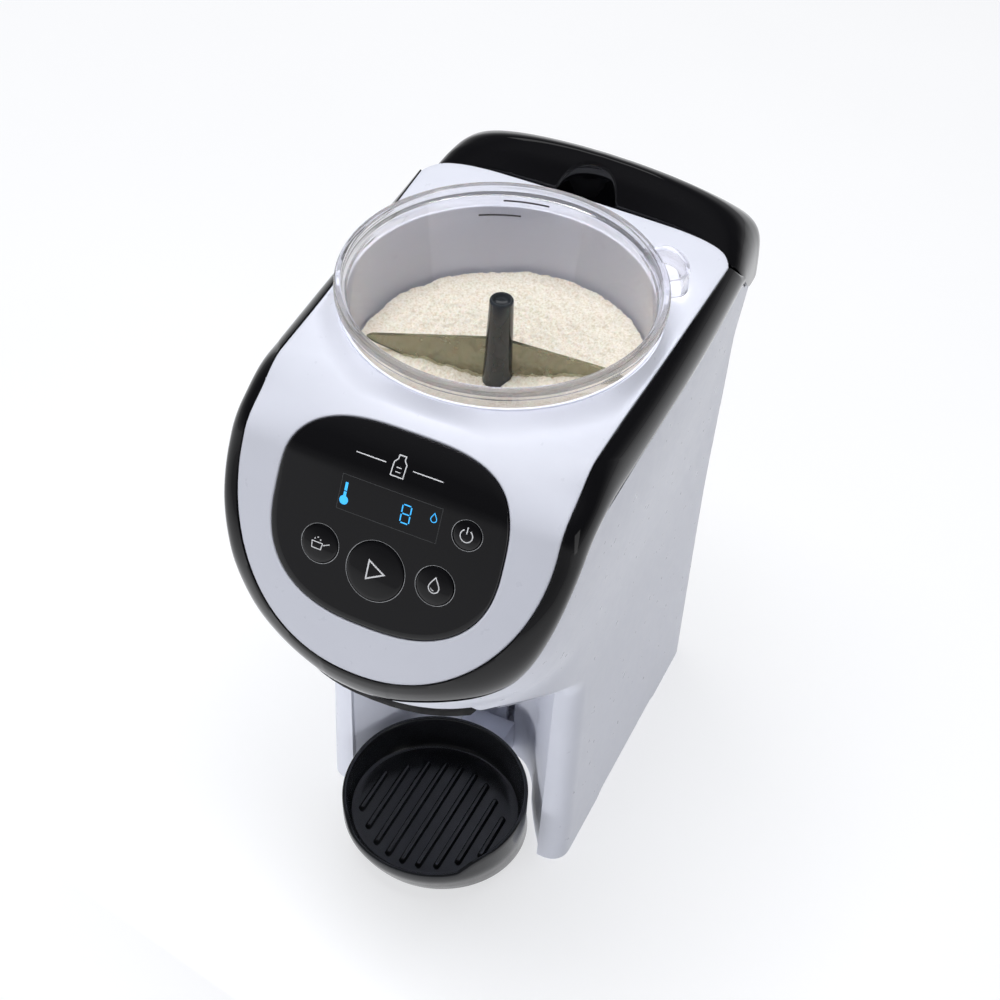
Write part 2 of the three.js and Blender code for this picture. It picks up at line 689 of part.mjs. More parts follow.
function powderWheel() {
  const wheel = pipe(66.6, 11.6, [264.8, 269.2]);
  const pockets = range(6).map((i) => {
    const angle = radians(60 * i + 30);
    return disc(7.5, [260, 275], [51 * Math.cos(angle), 51 * Math.sin(angle)], 10);
  });
  return cut(wheel, ...pockets);
}

// Shaft, two blades, and a spigot whose two lugs sit in the drive gear's hub.
function agitator() {
  const body = lathe(
    [
      [0, 255.8], [5.6, 255.8], [5.6, 264.8], [11.2, 264.8], [11.2, 272], [7.4, 274],
      [7, 279], [5.6, 325.5], [0, 327],
    ],
    [0, 0],
    18,
  );
  const blade = [
    [0, 273], [16, 274.5], [36, 281], [50, 287],
    [62, 291.4], [62.5, 293], [61, 294.2], [5, 303.4], [0, 303.4],
  ];
  const both = [...blade, ...blade.slice(1, -1).reverse().map(([x, z]) => [-x, z])];
  const lugs = box([-9.4, 9.4], [-1.5, 1.5], [255.8, 259.8]);
  return join(body, onBlade(front(both, [-1.1, 1.1])), onBlade(lugs));
}

// A gear outline with straight-sided teeth, the first tooth centred on turn degrees.
function gearOutline(teeth, turn) {
  const pitch = (GEAR_MODULE * teeth) / 2;
  const flank = [[-1.25, 0.95], [0.85, 0.36]]; // root and tip, in modules
  const corners = flank.map(([reach, half]) => [pitch + reach * GEAR_MODULE, half * GEAR_MODULE]);
  return range(teeth).flatMap((i) => {
    const centre = radians(turn + (360 * i) / teeth);
    const left = corners.map(([r, half]) => [r, centre - half / r]);
    const right = corners.map(([r, half]) => [r, centre + half / r]).reverse();
    return [...left, ...right].map(([r, angle]) => [r * Math.cos(angle), r * Math.sin(angle)]);
  });
}

const PINION_Y = (GEAR_MODULE * (GEAR_TEETH + PINION_TEETH)) / 2;
const HUB_FREE = [-19, 46]; // degrees left open each side of a lug, for the container's twist

function driveGear() {
  const teeth = plan(gearOutline(GEAR_TEETH, 90), [GEAR_Z, GEAR_Z + GEAR_THICK]);
  const hub = disc(12, [GEAR_Z, 260.6]);
  const recess = [0, 180].map((turn) => {
    const [start, end] = HUB_FREE.map((free) => radians(BLADE_TURN + turn + free));
    const angles = range(6).map((i) => mix(start, end, i / 5));
    return plan([[0, 0], ...angles.map((a) => [9.8 * Math.cos(a), 9.8 * Math.sin(a)])], [255.4, 262]);
  });
  const bores = [disc(3.4, [240, 254], [0, 0], 20), disc(6, [255.4, 262], [0, 0], 24)];
  return cut(join(teeth, hub), ...bores, ...recess);
}

function motorPinion() {
  const teeth = plan(gearOutline(PINION_TEETH, 0), [GEAR_Z, GEAR_Z + GEAR_THICK]);
  const bored = cut(teeth, disc(2.6, [240, 260], [0, 0], 16));
  return toSolid(toGeometry(bored).rotateZ(Math.PI / PINION_TEETH).translate(0, PINION_Y, 0));
}

function gearboxPlate() {
  const outline = [[-30, -20], [-18, -33], [18, -33], [30, -20], [24, 52], [14, 60], [-14, 60], [-24, 52]];
  const plate = plan(outline, [243.6, 246.6]);
  return join(cut(plate, disc(6, [240, 250], [0, PINION_Y], 20)), disc(3, [246, 252.6], [0, 0], 20));
}

function gearMotor() {
  const at = [0, PINION_Y];
  return join(disc(16, [203, 243.2], at), disc(5, [243, 245.4], at, 20), disc(2.2, [245, 252.6], at, 16));
}

function powderChute() {
  return lathe(
    [[9, 184.4], [11, 184.4], [11, 250], [13.5, 253], [13.5, 255.6], [9, 255.6]],
    [0, FUNNEL_Y],
    28,
  );
}

// ---------------------------------------------------------------- water side

const CRADLE_Y = [85.5, 88];
const TANK_Y = [94.3, 137.4]; // clears the white top's rear edge when the tank lifts out

function tankCradle() {
  const half = (z) => bodyHalfAt(CRADLE_Y[0], z) - WALL - 1;
  const heights = [CRADLE_Z - 2.6, 137, 200, 240, 288];
  const right = heights.map((z) => [half(z), z]);
  const left = heights.map((z) => [-half(z), z]).reverse();
  const crest = [[66, 312], [-66, 312]];
  const wall = front([...right, ...crest, ...left], CRADLE_Y);
  const outline = bodyOutline(CRADLE_Z - 2.6, WALL + 1).filter(([, y]) => y > 98);
  const shelf = plan([[60, 87], ...outline, [-60, 87]], [CRADLE_Z - 2.6, CRADLE_Z]);
  const port = pipe(6, 2.6, [84, CRADLE_Z + 0.3], [0, VALVE_Y], 20);
  return join(wall, cut(shelf, disc(5, [80, 100], [0, VALVE_Y], 20)), port);
}

function tankRing(z, inset) {
  const half = lookup(BODY, z)[3] - WALL - 1.4 - inset;
  const [y0, y1] = [TANK_Y[0] + inset, TANK_Y[1] - inset];
  const corner = 9 - inset;
  const centres = [[half - corner, y0 + corner, -90], [half - corner, y1 - corner, 0],
    [-half + corner, y1 - corner, 90], [-half + corner, y0 + corner, 180]];
  return centres.flatMap(([x, y, start]) =>
    [0, 30, 60, 90].map((turn) => {
      const angle = radians(start + turn);
      return [x + corner * Math.cos(angle), y + corner * Math.sin(angle), z];
    }));
}

const TANK_KNUCKLES = [[-34, -26], [26, 34]];

function waterTank() {
  const wall = 2.2;
  const outer = loft([TANK_FLOOR_Z, 137, 237, TANK_TOP_Z].map((z) => tankRing(z, 0)));
  const inner = loft([TANK_FLOOR_Z + 2.4, 137, 237, TANK_TOP_Z + 5].map((z) => tankRing(z, wall)));
  const knuckles = TANK_KNUCKLES.flatMap((x) => [
    barX(2.8, x, HINGE),
    box(x, [136, HINGE[0]], [HINGE[1] - 2.8, HINGE[1]]),
  ]);
  const bare = cut(outer, disc(4.6, [90, 100], [0, VALVE_Y], 20));
  return cut(join(bare, ...knuckles), inner, barX(1.8, [-40, 40], HINGE));
}

const hingePin = () => barX(1.5, [-35, 35], HINGE);

function tankValve() {
  const profile = [[0, 92.8], [3.6, 92.8], [3.6, 95.8], [8, 95.8], [8, 97.4], [2, 99], [0, 99]];
  return lathe(profile, [0, VALVE_Y], 20);
}

// y, half-width, top height and crown of the lid's arched sections
const LID = [
  [82, 84.5, 318, 0],
  [92, 84, 321.5, 0.5],
  [95, 83.8, 324, 2],
  [98, 83.5, 327.4, 5],
  [104, 82.6, 333.4, 10],
  [111, 81.6, 336, 12.4],
  [118, 80.6, 333.4, 10.6],
  [125, 79.6, 327.4, 7],
  [ARC_Y, 79, 322.5, 4.5],
  [135.5, 77.4, 316, 2],
  [139.9, 73, 311, 1],
  [REAR_Y, 67, 306, 0],
];
const LID_POWER = 6;

function lidSolid(inset, startY) {
  const stations = LID.filter(([y]) => y > startY).map(([y]) => Math.min(y, REAR_Y - inset));
  return loft(
    [startY, ...stations].map((y) => {
      const [half, high, crown] = lookup(LID, y);
      return range(19).map((i) => {
        const angle = radians(mix(0, 180, i / 18));
        const share = rounded(Math.cos(angle), LID_POWER);
        const rise = (high - crown - inset - LID_BASE_Z) * rounded(Math.sin(angle), LID_POWER);
        return [(half - inset) * share, y, LID_BASE_Z + rise + crown * (1 - share ** 2)];
      });
    }),
  );
}

const LID_NOTCH = { y: 90, radius: 16, floor: 309 };

function tankLid() {
  const outer = lidSolid(0, 83);
  const shell = cut(outer, lidSolid(WALL, 98));
  const lower = SIDE_TOP.slice(2).map(([y, z]) => [y, z + GAP]);
  const behind = [[REAR_Y + 5, 279.8], [REAR_Y + 5, 345], [70, 345], [70, 299.4]];
  const above = side([...behind, ...lower], [-100, 100]);
  const plane = plan([...lidFront(GAP), [-90, 150], [90, 150]], [260, 345]);
  const cheek = (x) => side([[70, 298], [97.2, 298], [86.7, 323], [70, 323]], x);
  const { y, radius, floor } = LID_NOTCH;
  const pocket = cut(disc(radius + 2, [floor - 2, 340], [0, y]), disc(radius, [floor, 345], [0, y]));
  const open = cut(
    shell.intersect(above).intersect(plane),
    cheek([78.5, 95]),
    cheek([-95, -78.5]),
    disc(radius, [floor, 345], [0, y]),
    ...TANK_KNUCKLES.map((x) => box([x[0] - 0.5, x[1] + 0.5], [130, 150], [270, 285.5])),
  );
  const knuckle = join(
    barX(2.8, [-25.4, 25.4], HINGE),
    box([-25.4, 25.4], [REAR_Y - 2.8, REAR_Y - 0.2], [HINGE[1], HINGE[1] + 5]),
  );
  const cup = pocket.intersect(outer).intersect(plane);
  return cut(join(open, cup, knuckle), barX(1.8, [-40, 40], HINGE));
}

const NOZZLE_Y = -30;

function waterNozzle() {
  const profile = [[0, 184.4], [3.8, 184.4], [3.8, 186.9], [7, 186.9], [7, 192], [3.4, 194], [0, 194]];
  return lathe(profile, [0, NOZZLE_Y], 20);
}

function pump() {
  const block = box([-52, -14], [38, 74], [8, 34]);
  return join(block, disc(15, [33, 52], [-33, 56], 28), disc(3.4, [51, 57], [-33, 48], 16));
}

function heaterBlock() {
  const at = [26, 58];
  return join(disc(19, [84, 160], at, 32), disc(3.4, [79, 85], at, 16), disc(3.4, [159, 165], at, 16));
}

const HOSES = {
  inlet_hose: [[0, VALVE_Y, 83.4], [0, VALVE_Y, 70], [-16, 100, 52], [-34, 84, 44], [-33, 71.6, 43.5]],
  pump_hose: [[-33, 48, 57.6], [-32, 48, 68], [-4, 54, 74], [18, 58, 66], [26, 58, 70], [26, 58, 78.4]],
  outlet_hose: [
    [26, 58, 165.6], [26, 57, 182], [27, 30, 202], [16, -8, 208],
    [2, NOZZLE_Y + 2, 206], [0, NOZZLE_Y, 200], [0, NOZZLE_Y, 194.6],
  ],
};

// ---------------------------------------------------------------- bottle side

const DRAWER_Z = [178.4, 181.5]; // passes under the skirt
const DRAWER_LIP_Z = 187.2; // the front edge fills the skirt's notch

// The drawer's curved front, one ring for each height.
function drawerFront() {
  const rings = [[DRAWER_Z[0], 34], [182, 36.2], [DRAWER_LIP_Z, 34]].map(([z, end]) => {
    const arc = range(15).map((i) => mix(-end, end, i / 14) / 90);
    return [...arc.map((q) => bodyPoint(q, z, 0.8)), ...arc.reverse().map((q) => bodyPoint(q, z, 3))];
  });
  return loft(rings);
}

function funnelDrawer() {
  const arc = range(15).map((i) => mix(-34, 34, i / 14) / 90);
  const nose = arc.map((q) => bodyPoint(q, DRAWER_Z[0], 1.4).slice(0, 2));
  const back = range(13).map((i) => {
    const angle = radians(mix(0, 180, i / 12));
    return [46 * Math.cos(angle), FUNNEL_Y + 46 * Math.sin(angle)];
  });
  const plate = plan([...nose, ...back], DRAWER_Z);
  const seat = join(disc(36.4, [170, 190], [0, FUNNEL_Y]), disc(39, [179.5, 190], [0, FUNNEL_Y]));
  return cut(join(plate, drawerFront()), seat);
}

function mixingFunnel() {
  return lathe(
    [
      [33.6, 181.5], [9.6, 159.7], [7.4, 148.3], [9.4, 148.3],
      [11.6, 158.3], [35.8, 179.9], [38.6, 179.9], [38.6, 181.5],
    ],
    [0, FUNNEL_Y],
  );
}

// z, y of the centre, radius of the tray's outer rings
const TRAY = [
  [3, -42, 46],
  [12, -46.5, 47],
  [22, -50, 48],
  [42, FUNNEL_Y, 48.4],
];
const TRAY_FLOOR_Z = 19.8;
const TRAY_WALL = 2.4;
const RIBS = { count: 9, pitch: 8.6, reach: 33.5, forward: 4.5, width: 3, height: 2 };

function trayRing(z, inset) {
  const [y, radius] = lookup(TRAY, z);
  return range(ROUND).map((i) => {
    const angle = (2 * Math.PI * i) / ROUND;
    return [(radius - inset) * Math.cos(angle), y + (radius - inset) * Math.sin(angle), z];
  });
}

function dripTray() {
  const outer = loft(TRAY.map(([z]) => trayRing(z, 0)));
  const cup = loft([trayRing(TRAY_FLOOR_Z, 5), trayRing(22, TRAY_WALL + 1), trayRing(43, TRAY_WALL)]);
  const under = loft([trayRing(2.9, TRAY_WALL), trayRing(TRAY_FLOOR_Z - TRAY_WALL, TRAY_WALL + 0.4)]);
  const rim = [
    [-110, 25.5], [-92, 25.5], [-87.5, 26], [-84, 29.4], [-81, 31.9], [-76, 33.3], [-50, 36.6],
    [-20, 40], [0, 41],
  ];
  const above = side([...rim, [10, 41], [10, 50], [-110, 50]], [-60, 60]);
  const ribs = range(RIBS.count).map((i) => {
    const x = (i - (RIBS.count - 1) / 2) * RIBS.pitch;
    const half = Math.sqrt(RIBS.reach ** 2 - Math.min(Math.abs(x), RIBS.reach * 0.93) ** 2);
    const section = [[-0.5, -0.3], [0.5, -0.3], [0.5, 0.5], [0.28, 1], [-0.28, 1], [-0.5, 0.5]];
    const outline = section.map(([u, v]) => [x + RIBS.width * u, TRAY_FLOOR_Z + RIBS.height * v]);
    return front(outline, [FUNNEL_Y - half - RIBS.forward, FUNNEL_Y + half]);
  });
  return join(cut(outer, cup, under, above), ...ribs);
}

// Carries the tray on two hooks that run in the bay's slots.
function trayBracket() {
  const block = box([-13.5, 13.5], [4.6, 19.6], [6, 26]);
  const hooks = [-10, 10].map((x) => join(
    box([x - 2, x + 2], [19, 29], [14, 22]),
    box([x - 4.5, x + 4.5], [26.6, 29], [11, 25]),
  ));
  const clear = loft([trayRing(3, -GAP), trayRing(22, -GAP), trayRing(41, -GAP)]);
  return cut(join(block, ...hooks), clear, box([-10.5, 10.5], [7.6, 16.6], [3, 23]));
}

// ---------------------------------------------------------------- assembly

const paint = (color, roughness, metalness = 0, opacity = 1) => () =>
  new THREE.MeshStandardMaterial({ color, roughness, metalness, opacity, transparent: opacity < 1 });
const WHITE = paint(0xeef0f6, 0.35);
const GLOSS = paint(0x0b0b0d, 0.12);
const SATIN = paint(0x151618, 0.4);
const CLEAR = paint(0xf4f6fa, 0.05, 0, 0.3);
const SMOKE = paint(0x34383a, 0.15, 0, 0.6);
const STEEL = paint(0xb8bcc2, 0.3, 0.9);
const RUBBER = paint(0x2a2b2e, 0.8);
const SILICONE = paint(0xcfd3d6, 0.6);
const GREY = paint(0x9a9ea6, 0.5);
const BOARD = paint(0x1f6b45, 0.5);

const root = new THREE.Group();
function add(name, solid, material) {
  const mesh = new THREE.Mesh(toGeometry(solid), material());
  mesh.name = name;
  root.add(mesh);
}

add("body_shell", bodyShell(), WHITE);
add("rear_panel", rearPanel(), WHITE);
add("bay_wall", bayWall(), WHITE);
add("underside_cover", undersideCover(), WHITE);
add("drawer_rail_right", drawerRail(1), WHITE);
add("drawer_rail_left", drawerRail(-1), WHITE);
add("base_plate", basePlate(), WHITE);
FEET.forEach((at, i) => add(`rubber_foot_${i + 1}`, disc(8, [0, 2.6], at, 16), RUBBER));
SCREWS.forEach((at, i) => {
  const screw = join(disc(3.2, [1, 2.6], at, 10), disc(1.5, [2, 12], at, 10));
  add(`base_screw_${i + 1}`, screw, STEEL);
});
add("fascia", fascia(), WHITE);
add("trim_band", loft(bandSections()), GLOSS);
add("container_well", containerWell(), WHITE);
add("control_panel", controlPanel(), GLOSS);
add("display_module", displayModule(), GREY);
add("control_board", controlBoard(), BOARD);
BUTTONS.forEach((one) => add(one[0], button(one), GLOSS));

add("powder_container", powderContainer(), CLEAR);
add("container_seal", containerSeal(), SILICONE);
add("leveling_plate", levelingPlate(), CLEAR);
add("powder_wheel", powderWheel(), GREY);
add("agitator", agitator(), SMOKE);
add("drive_gear", driveGear(), GREY);
add("motor_pinion", motorPinion(), STEEL);
add("gearbox_plate", gearboxPlate(), STEEL);
add("gear_motor", gearMotor(), STEEL);
add("powder_chute", powderChute(), GREY);

add("tank_cradle", tankCradle(), WHITE);
add("water_tank", waterTank(), SMOKE);
add("hinge_pin", hingePin(), STEEL);
add("tank_valve", tankValve(), SILICONE);
add("tank_lid", tankLid(), GLOSS);
add("pump", pump(), SATIN);
add("heater_block", heaterBlock(), STEEL);
for (const [name, points] of Object.entries(HOSES)) add(name, hose(points, 3), SILICONE);
add("water_nozzle", waterNozzle(), SILICONE);
add("main_board", box([54.4, 56], [38, 82], [30, 170]), BOARD);
add("power_inlet", box([-43, -17], [120, REAR_Y], [21, 41]), SATIN);

add("funnel_drawer", funnelDrawer(), SATIN);
add("mixing_funnel", mixingFunnel(), CLEAR);
add("drip_tray", dripTray(), SATIN);
add("tray_bracket", trayBracket(), WHITE);

export default root;
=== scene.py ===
# The formula dispenser's looks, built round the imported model. Curves repeat the CAD source's numbers,
# in millimetres; points are turned into metres when a mesh is made.
import json
from math import acos, atan2, ceil, copysign, cos, degrees, exp, floor, hypot, pi, radians, sin, sqrt

import bmesh
import bpy
import numpy as np
from mathutils import Matrix, Vector, noise
from numpy.linalg import norm


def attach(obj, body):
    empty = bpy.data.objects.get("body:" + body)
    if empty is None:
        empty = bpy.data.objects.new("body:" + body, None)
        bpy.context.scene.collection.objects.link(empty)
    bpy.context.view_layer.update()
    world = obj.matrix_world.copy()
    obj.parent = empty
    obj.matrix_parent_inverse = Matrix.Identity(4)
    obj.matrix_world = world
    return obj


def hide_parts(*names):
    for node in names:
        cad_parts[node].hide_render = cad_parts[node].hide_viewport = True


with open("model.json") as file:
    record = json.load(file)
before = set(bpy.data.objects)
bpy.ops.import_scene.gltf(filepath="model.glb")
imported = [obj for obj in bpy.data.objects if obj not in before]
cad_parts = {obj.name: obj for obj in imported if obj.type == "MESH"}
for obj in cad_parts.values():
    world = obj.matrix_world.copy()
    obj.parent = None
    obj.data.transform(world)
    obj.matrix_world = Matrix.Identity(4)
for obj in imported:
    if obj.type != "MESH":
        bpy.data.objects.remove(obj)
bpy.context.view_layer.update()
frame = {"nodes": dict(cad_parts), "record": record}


def added(name, data):
    """A new object in the scene."""
    made = bpy.data.objects.new(name, data)
    bpy.context.scene.collection.objects.link(made)
    return made


# ---- camera


def place_camera():
    data = bpy.data.cameras.new("camera")
    data.sensor_width = 36
    data.lens = 88.82
    camera = added("camera", data)
    azimuth, elevation, roll = (radians(v) for v in (22.97, 43.35, 3.47))
    level = cos(elevation)
    back = Vector((sin(azimuth) * level, -cos(azimuth) * level, sin(elevation)))
    right = Vector((cos(azimuth), sin(azimuth), 0))
    up = back.cross(right)
    x = right * cos(roll) + up * sin(roll)
    y = up * cos(roll) - right * sin(roll)
    place = Matrix((x, y, back)).transposed().to_4x4()
    place.translation = Vector((0.34515, -0.80224, 1.02644))
    camera.matrix_world = place
    bpy.context.scene.camera = camera


place_camera()

# ---- curves


class Curve:
    """A smooth curve through rows of (key, value, ...) that doesn't overshoot, held at its ends."""

    def __init__(self, rows):
        table = np.array(rows, float)
        self.keys, self.values = table[:, 0], table[:, 1:]
        step = np.diff(self.keys)[:, None]
        slope = np.diff(self.values, axis=0) / step
        near, far = 2 * step[1:] + step[:-1], step[1:] + 2 * step[:-1]
        same = slope[:-1] * slope[1:] > 0
        before, after = (np.where(same, s, 1) for s in (slope[:-1], slope[1:]))
        inner = np.where(same, (near + far) / (near / before + far / after), 0)
        self.slopes = np.vstack([slope[:1], inner, slope[-1:]])

    def __call__(self, key):
        key = min(max(key, self.keys[0]), self.keys[-1])
        i = min(int(np.searchsorted(self.keys, key, side="right")) - 1, len(self.keys) - 2)
        h = self.keys[i + 1] - self.keys[i]
        t = (key - self.keys[i]) / h
        out = (
            (1 + 2 * t) * (1 - t) ** 2 * self.values[i]
            + t * (1 - t) ** 2 * h * self.slopes[i]
            + t * t * (3 - 2 * t) * self.values[i + 1]
            - t * t * (1 - t) * h * self.slopes[i + 1]
        )
        return out if len(out) > 1 else float(out[0])


def clamp(t):
    return min(max(t, 0), 1)


def lerp(a, b, t):
    return a + (b - a) * t


def unit(way):
    return way / norm(way)


def rounded(value, power):
    return copysign(abs(value) ** (2 / power), value)


def soft(points, size, steps=4):
    """An open outline with its inner corners rounded; size is one radius or one for each corner."""
    out = [tuple(points[0])]
    for i in range(1, len(points) - 1):
        here = np.array(points[i], float)
        before, after = np.array(points[i - 1], float) - here, np.array(points[i + 1], float) - here
        radius = size if np.isscalar(size) else size[i]
        reach = min(radius, norm(before) * 0.49, norm(after) * 0.49)
        a, b = (here + unit(way) * reach for way in (before, after))
        for k in range(steps + 1):
            t = k / steps
            out.append(tuple((1 - t) ** 2 * a + 2 * t * (1 - t) * here + t * t * b))
    return [*out, tuple(points[-1])]


# ---- the housing's outline

GAP = 0.4
REAR_Y, REAR_CORNER, NOSE_Y = 141.5, 12, -40
ARC_Y = REAR_Y - REAR_CORNER
FUNNEL_Y = -50.9
SIDE_BOW = 2.5
# z, half-width, the nose's reach and power, half-width at the rear
SECTION = Curve([
    (0, 68.6, 84, 2.3, 64.6), (137, 70.5, 84, 2.3, 67.6), (180, 74, 84.5, 2.3, 69.5),
    (187.6, 75, 88.2, 2.3, 69.8), (190, 75.4, 88.6, 2.4, 70), (208, 78, 90, 3.57, 70.8),
    (237, 82, 95, 4.9, 72.1), (258, 84.5, 95, 5.85, 74.4), (280, 86, 95, 6.85, 77),
    (299, 86.7, 95, 7.7, 79.6),
])
# the legs' front edge (z, y) and its rounding
LEG_EDGE = Curve([(0, -38), (130, -40), (147, -50), (165, -70), (177, -90), (182, -104)])
LEG_ROUND = Curve([(0, 11), (138, 11), (156, 7), (170, 3.5), (182, 1.5)])
SKIRT_Z = 182
# the band's lower edge round the nose (degrees, z), then along the side (y, z)
BAND_EDGE = Curve([
    (0, 190), (8, 191.6), (16, 196.5), (26, 203), (35, 209.5), (44, 217.3), (51, 227), (57.5, 237.5),
    (63, 247.8), (69, 258.5), (76, 270), (81.5, 280), (85.6, 289), (88.5, 294.4), (90, 297.8),
])
SIDE_TOP = Curve([
    (NOSE_Y, 297.8), (0, 299), (98, 299), (106, 291.5), (115, 284.5), (ARC_Y, 280), (REAR_Y, 279.4)
])


def body_outer(q, z):
    """A point of the outline at height z; |q| counts nose, side, rear corner and rear, one each."""
    half, nose, power, rear = SECTION(z)
    hand, step = (-1 if q < 0 else 1), abs(q)
    if step <= 1:
        angle = radians(90 * step)
        return hand * half * rounded(sin(angle), power), NOSE_Y - nose * rounded(cos(angle), power)
    if step <= 2:
        bow = SIDE_BOW * sin(pi * (step - 1)) * clamp((z - 180) / 60)
        return hand * (lerp(half, rear, step - 1) + bow), lerp(NOSE_Y, ARC_Y, step - 1)
    if step <= 3:
        angle = radians(90 * (step - 2))
        x = rear - REAR_CORNER + REAR_CORNER * cos(angle)
        return hand * x, ARC_Y + REAR_CORNER * sin(angle)
    return hand * (rear - REAR_CORNER) * (4 - step), REAR_Y


def body_point(q, z, inset=0.0):
    x, y = body_outer(q, z)
    if inset == 0:
        return x, y, z
    x0, y0 = body_outer(q - 0.004, z)
    x1, y1 = body_outer(q + 0.004, z)
    length = hypot(x1 - x0, y1 - y0)
    return x - inset * (y1 - y0) / length, y + inset * (x1 - x0) / length, z


def side_step(y):
    return 1 + (y - NOSE_Y) / (ARC_Y - NOSE_Y)


def step_at(y, z):
    """The body step whose section point at height z lies at y."""
    if y >= NOSE_Y:
        return side_step(y)
    _, nose, power, _ = SECTION(z)
    return degrees(acos(((NOSE_Y - y) / nose) ** (power / 2))) / 90


def body_top(q):
    if q <= 1:
        return BAND_EDGE(90 * q)
    return SIDE_TOP(lerp(NOSE_Y, ARC_Y, q - 1) if q <= 2 else REAR_Y)


# ---- the face's surface

FACE_START, FACE_END = np.array([-143, 214.0]), np.array([-106.6, 296.0])
TOP_START, TOP_END = np.array([-66, 319.7]), np.array([98, 322.2])
FACE_HALF = 77


def face_line():
    """The face's centre line in side view as (s, y, z), with s its length so far."""
    slope, flat = unit(FACE_END - FACE_START), unit(TOP_END - TOP_START)
    corners = [FACE_END, FACE_END + 17 * slope, TOP_START - 17 * flat, TOP_START]
    points = [lerp(FACE_START, FACE_END, t) for t in np.linspace(0, 1, 200)]
    for t in np.linspace(0, 1, 160)[1:]:
        weights = [(1 - t) ** 3, 3 * t * (1 - t) ** 2, 3 * t * t * (1 - t), t**3]
        points.append(sum(w * c for w, c in zip(weights, corners)))
    points += [lerp(TOP_START, TOP_END, t) for t in np.linspace(0, 1, 300)[1:]]
    points = np.array(points)
    lengths = np.concatenate([[0], np.cumsum(norm(np.diff(points, axis=0), axis=1))])
    return lengths, points


LINE_S, LINE = face_line()
LINE_TURN = np.gradient(LINE, LINE_S, axis=0)
SLOPE_LENGTH = float(LINE_S[199])
TOP_S = float(LINE_S[358])
SHOULDER_LENGTH = TOP_S - SLOPE_LENGTH
SLOPE_RUN, SLOPE_RISE = (FACE_END - FACE_START) / SLOPE_LENGTH
CROWN = Curve([
    (0, 5.7), (SLOPE_LENGTH, 6), (SLOPE_LENGTH + SHOULDER_LENGTH / 2, 8.5),
    (TOP_S, 3.6), (TOP_S + 60, 3.2), (float(LINE_S[-1]), 0.6),
])


def face_point(s, x, depth=0.0):
    y, z = (np.interp(s, LINE_S, LINE[:, k]) for k in (0, 1))
    ty, tz = (np.interp(s, LINE_S, LINE_TURN[:, k]) for k in (0, 1))
    drop = CROWN(s) * abs(x / FACE_HALF) ** 3 + depth
    return x, float(y + tz * drop), float(z - ty * drop)


def face_s(x, y):
    """The length s at which the surface, off the centre line by x, lies at y."""
    s = float(np.interp(y, LINE[:, 0], LINE_S))
    for _ in range(6):
        s += (y - face_point(s, x)[1]) / float(np.interp(s, LINE_S, LINE_TURN[:, 0]))
    return s


NOSE_ANGLES = [0, 8, 16, 26, 35, 44, 51, 57.5, 63, 69, 76, 81.5]
FACE_ANGLES = [0, 12, 23, 35, 41, 48, 54, 60, 66, 73, 80, 88]
SHOULDER_ANGLES = [83.3, 85, 86.6, 88, 89, 90]
TOP_Y = [-40, -10, 20, 50, 75, 86]
LAST = 23


def lower_edge(angle):
    """(s, half-width) of the rounded lower outline of the face."""
    width = FACE_HALF * rounded(sin(radians(angle)), 2.1)
    edge_z = 290 - 75.5 * rounded(cos(radians(angle)), 2.1)
    centre_z = edge_z + SLOPE_RUN * 5.7 * (width / FACE_HALF) ** 3
    return max(0.0, (centre_z - FACE_START[1]) / SLOPE_RISE), width


def edge_tables():
    upper = [lower_edge(80), lower_edge(88)]
    upper += [(SLOPE_LENGTH + SHOULDER_LENGTH * (i + 0.5) / 6, FACE_HALF) for i in range(6)]
    upper += [(TOP_S + y + 66, FACE_HALF + 3.2 * clamp((y + 50) / 136)) for y in TOP_Y]
    steps = [a / 90 for a in NOSE_ANGLES + SHOULDER_ANGLES]
    steps += [side_step(lerp(-38, 96.5, ((y + 50) / 136) ** 0.9)) for y in TOP_Y]
    angles = [(-1, -12), *enumerate(FACE_ANGLES)]
    return (
        Curve(angles),
        Curve([(10 + i, *row) for i, row in enumerate(upper)]),
        Curve([(-1, -8 / 90), *enumerate(steps)]),
    )


EDGE_ANGLE, EDGE_UPPER, EDGE_STEP = edge_tables()


def face_edge(p):
    """(s, half-width) of the face's outline at station p, 0 at the bottom and LAST at the lid."""
    return lower_edge(EDGE_ANGLE(p)) if p <= 11 else tuple(EDGE_UPPER(p))


PANEL_S = (261.05 - FACE_START[1]) / SLOPE_RISE
PANEL_MIDDLE, PANEL_HALF, PANEL_LIFT = PANEL_S + 19, 55.3, 46.15
PANEL_LOW, PANEL_HIGH = 2.5, 3.2
# across, up the face and radius, from the start button
BUTTONS = {
    "start": (0, 0, 14), "powder": (-28.2, 3.2, 9.1),
    "volume": (28.2, 3.2, 9.1), "power": (37.3, 30.5, 6.9),
}


def on_panel(u, v, lift=0.0):
    """A point of the panel's surface; u runs across, v up the face from the start button."""
    return face_point(PANEL_S + v, u, -0.3 - lift)


def button_frame(u, v):
    """Places points (across, up, out) of a flat frame at a button's centre."""
    origin = np.array(face_point(PANEL_S + v, u))
    up = np.array([0, SLOPE_RUN, SLOPE_RISE])
    out = np.array([0, -SLOPE_RISE, SLOPE_RUN])
    return lambda a, b, h: tuple(origin + np.array([a, 0, 0]) + b * up + h * out)


# ---- materials


